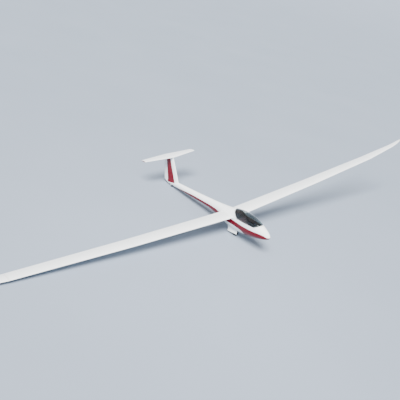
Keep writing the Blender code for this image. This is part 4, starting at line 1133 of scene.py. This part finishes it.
def addRoll():
    path = []
    for k in range(65):
        turn = math.pi * k / 64
        high = panel["archHigh"] * max(math.sin(turn), 0.0) ** panel["archPower"]
        path.append(panelFoot + panelUp * (high + 0.004) + port * panel["archHalf"] * math.cos(turn))
    shape = bmesh.new()
    addSweep(shape, path, roundOutline(panel["roll"], 12), [panelAft] * len(path))
    meshPiece("panel_roll", shape, ["grained black vinyl"], sharpest=50)


addInstruments()
addRoll()
print("instruments set in")


# control stick: bellows boot, alloy tube, and a moulded grip with its radio button
stick = {"foot": (0.0, -0.970, -0.560), "top": (0.0, -0.930, -0.150), "tube": 0.0110, "grip": 0.0172,
         "gripFrom": 0.70, "gripTo": 1.02, "boot": 0.0310, "bootTo": 0.24, "folds": 6, "seat": 0.006}


def addStick():
    foot = Vector(stick["foot"])
    run = Vector(stick["top"]) - foot
    place = facing(foot, run)
    start = levelBox("control_stick")[0].z - foot.z + stick["seat"]
    bootEnd, low, high = (run.length * stick[name] for name in ("bootTo", "gripFrom", "gripTo"))
    tube, grip = stick["tube"], stick["grip"]
    bellows = [(start, 0.0), (start, stick["boot"] - 0.004)]
    for k in range(stick["folds"]):
        share = (k + 0.5) / stick["folds"]
        radius = stick["boot"] - 0.014 * share
        along = start + (bootEnd - start) * share
        step = (bootEnd - start) / stick["folds"] / 2
        bellows += [(along, radius), (along + step * 0.8, radius - 0.0055)]
    handle = [(low, 0.0), (low, grip - 0.003), (low + 0.004, grip)]
    for k in range(1, 20):
        share = k / 20
        wave = 0.0011 * math.cos(math.tau * 4 * share)
        handle.append((low + 0.004 + (high - low - 0.014) * share, grip - 0.0012 + wave))
    # each turned part's profile and sides, in the order of the finishes
    parts = [(bellows + [(bootEnd + 0.004, tube + 0.001), (bootEnd + 0.004, 0.0)], 40),
             ([(bootEnd, 0.0), (bootEnd, tube), (low + 0.01, tube), (low + 0.01, 0.0)], 32),
             (handle + [(high - 0.008, grip), (high - 0.003, grip - 0.004), (high, 0.006), (high, 0.0)], 40),
             ([(high - 0.002, 0.0), (high - 0.002, 0.0050), (high + 0.002, 0.0046), (high + 0.003, 0.003),
               (high + 0.003, 0.0)], 20)]
    shape = bmesh.new()
    for k, (profile, around) in enumerate(parts):
        addTurned(shape, profile, place, around, k)
    finishes = ["vulcanised rubber", "clear anodised alloy", "moulded black knob", "moulded red knob"]
    meshPiece("stick_and_boot", shape, finishes, replaced="control_stick", sharpest=45)


addStick()


# levers on the ledges, the cable release, the canopy's latches and the bay doors' hinges
levers = {
    "rod": 0.0045, "plate": (0.020, 0.0018), "inset": 0.028,
    # each: ledge, place aft, knob, knob's radius, length, lean aft, length of its slot
    "rows": [("port", -0.750, "moulded blue knob", 0.0150, 0.070, -0.25, 0.170),
             ("port", -0.560, "moulded black knob", 0.0130, 0.060, 0.10, 0.120),
             ("port", -0.910, "moulded green knob", 0.0095, 0.034, 0.20, 0.080),
             ("starboard", -0.700, "moulded black knob", 0.0140, 0.065, -0.20, 0.190)],
    "release": ((0.0, -1.1202, -0.200), 0.040, 0.0135),    # place on the pedestal, cable's length, ball
    "latch": (-0.720, 0.0105, (0.010, 0.046, 0.012)),      # place aft, knob's radius, base
}
leverFinishes = ["zinc plated steel", "crackle lacquered sheet", "moulded yellow knob", "moulded blue knob",
                 "moulded black knob", "moulded green knob"]
doorHinge = {"out": 0.112, "up": -0.428, "radius": 0.0038, "long": 0.030, "count": 3}


def ball(radius, along, steps=8):
    # profile of a ball whose middle is that far along
    turns = [math.pi * k / steps for k in range(steps + 1)]
    return [(along - radius * math.cos(t), radius * math.sin(t) if 0 < k < steps else 0.0)
            for k, t in enumerate(turns)]


def addLevers():
    shape = bmesh.new()
    for side, aft, knob, radius, length, lean, slot in levers["rows"]:
        low, high = levelBox("side_ledge_" + side)
        foot = Vector((sides[side] * (min(abs(low.x), abs(high.x)) + levers["inset"]), aft, high.z))
        wide, thick = levers["plate"]
        addBox(shape, foot + Vector((0, 0, thick / 2 + 0.0003)), (wide, slot, thick), finishIndex=1)
        way = Vector((0, lean, 1)).normalized()
        addRod(shape, foot, foot + way * length, levers["rod"], around=16)
        neck = [(length - radius * 1.9, 0.0), (length - radius * 1.9, radius * 0.5),
                (length - radius, radius * 0.62)]
        addTurned(shape, neck + ball(radius, length)[2:], facing(foot, way), 24, leverFinishes.index(knob))
    spot, length, radius = levers["release"]
    way = Vector((0, 1, -0.35)).normalized()
    end = Vector(spot) + way * length
    addRod(shape, spot, end, 0.0016, around=12)
    addTurned(shape, ball(radius, 0.0), facing(end, way), 24, 2)
    meshPiece("cockpit_levers", shape, leverFinishes, sharpest=40)


def addLatches():
    aft, radius, base = levers["latch"]
    tree = BVHTree.FromBMesh(nodeShape("canopy_frame"))
    shape = bmesh.new()
    for sign in sides.values():
        way = Vector((sign, 0, 0))
        heights = [k * 0.002 - 0.10 for k in range(200)]
        hits = [tree.ray_cast(Vector((0, aft, high)), way, 0.5)[0] for high in heights]
        hits = [hit for hit in hits if hit]
        spot = hits[len(hits) // 2] - way * base[0] * 0.55
        end = spot - way * 0.020
        addBox(shape, spot, base)
        addRod(shape, spot, end, 0.0035, around=12)
        addTurned(shape, ball(radius, 0.0), facing(end, way), 24, 1)
    meshPiece("canopy_latches", shape, ["zinc plated steel", "moulded red knob"], "canopy")


def addDoorHinges():
    shape = bmesh.new()
    step = Vector((0, doorHinge["long"] / 2, 0))
    for side, way in sides.items():
        low, high = levelBox("gear_door_" + side)
        for k in range(doorHinge["count"]):
            aft = low.y + (high.y - low.y) * (k + 0.5) / doorHinge["count"]
            middle = Vector((way * doorHinge["out"], aft, doorHinge["up"]))
            addRod(shape, middle - step, middle + step, doorHinge["radius"], around=16)
    meshPiece("bay_door_hinges", shape, ["zinc plated steel"])


# tow release under the nose: a plate, two cheeks, a beak on its pin and the ring's cage
towRelease = {"plate": 0.003, "cheek": (0.003, 0.074), "gap": 0.012, "pin": 0.0030,
              "bolt": (0.019, 0.040, 0.0022, 0.0034),    # out, fore and aft, head's height and radius
              "beak": (0.0075, 0.0026), "cage": (0.0085, 0.0018)}


def addArc(shape, middle, size, start, stop, steps=24):
    # a bent rod in the aircraft's side plane, its degrees counted from straight aft and up
    radius, thick = size
    turns = [math.radians(start + (stop - start) * k / steps) for k in range(steps + 1)]
    path = [Vector(middle) + radius * Vector((0, math.cos(t), math.sin(t))) for t in turns]
    addSweep(shape, path, roundOutline(thick), [port] * len(path))


def addTowRelease():
    low, high = levelBox("tow_hook")
    aft = (low.y + high.y) / 2
    shape = bmesh.new()
    plate, gap, (cheek, long) = towRelease["plate"], towRelease["gap"], towRelease["cheek"]
    foot = high.z - 0.0035 - plate
    addBox(shape, Vector((0, aft, foot + plate / 2)), (high.x - low.x, high.y - low.y, plate))
    deep = foot - low.z - 0.002
    out, away, head, radius = towRelease["bolt"]
    for way in (-1, 1):
        addBox(shape, Vector((way * gap, aft, foot - deep / 2)), (cheek, long, deep))
        for step in (away, -away):
            bolt = Vector((way * out, aft + step, foot))
            addRod(shape, bolt, bolt - Vector((0, 0, head)), radius, around=6)
    pin, reach = Vector((0, aft + 0.004, foot - deep * 0.45)), Vector((gap + 0.004, 0, 0))
    addRod(shape, pin - reach, pin + reach, towRelease["pin"])
    addArc(shape, pin + Vector((0, -0.014, 0)), towRelease["beak"], -10, 215)
    for out in (-0.005, 0.005):
        addArc(shape, (out, aft + 0.022, foot - 0.0095), towRelease["cage"], -180, 0)
    meshPiece("tow_release", shape, ["zinc plated steel"], replaced="tow_hook")


addLevers()
addLatches()
addDoorHinges()
addTowRelease()
print("stick, levers, latches, hinges and tow release fitted")
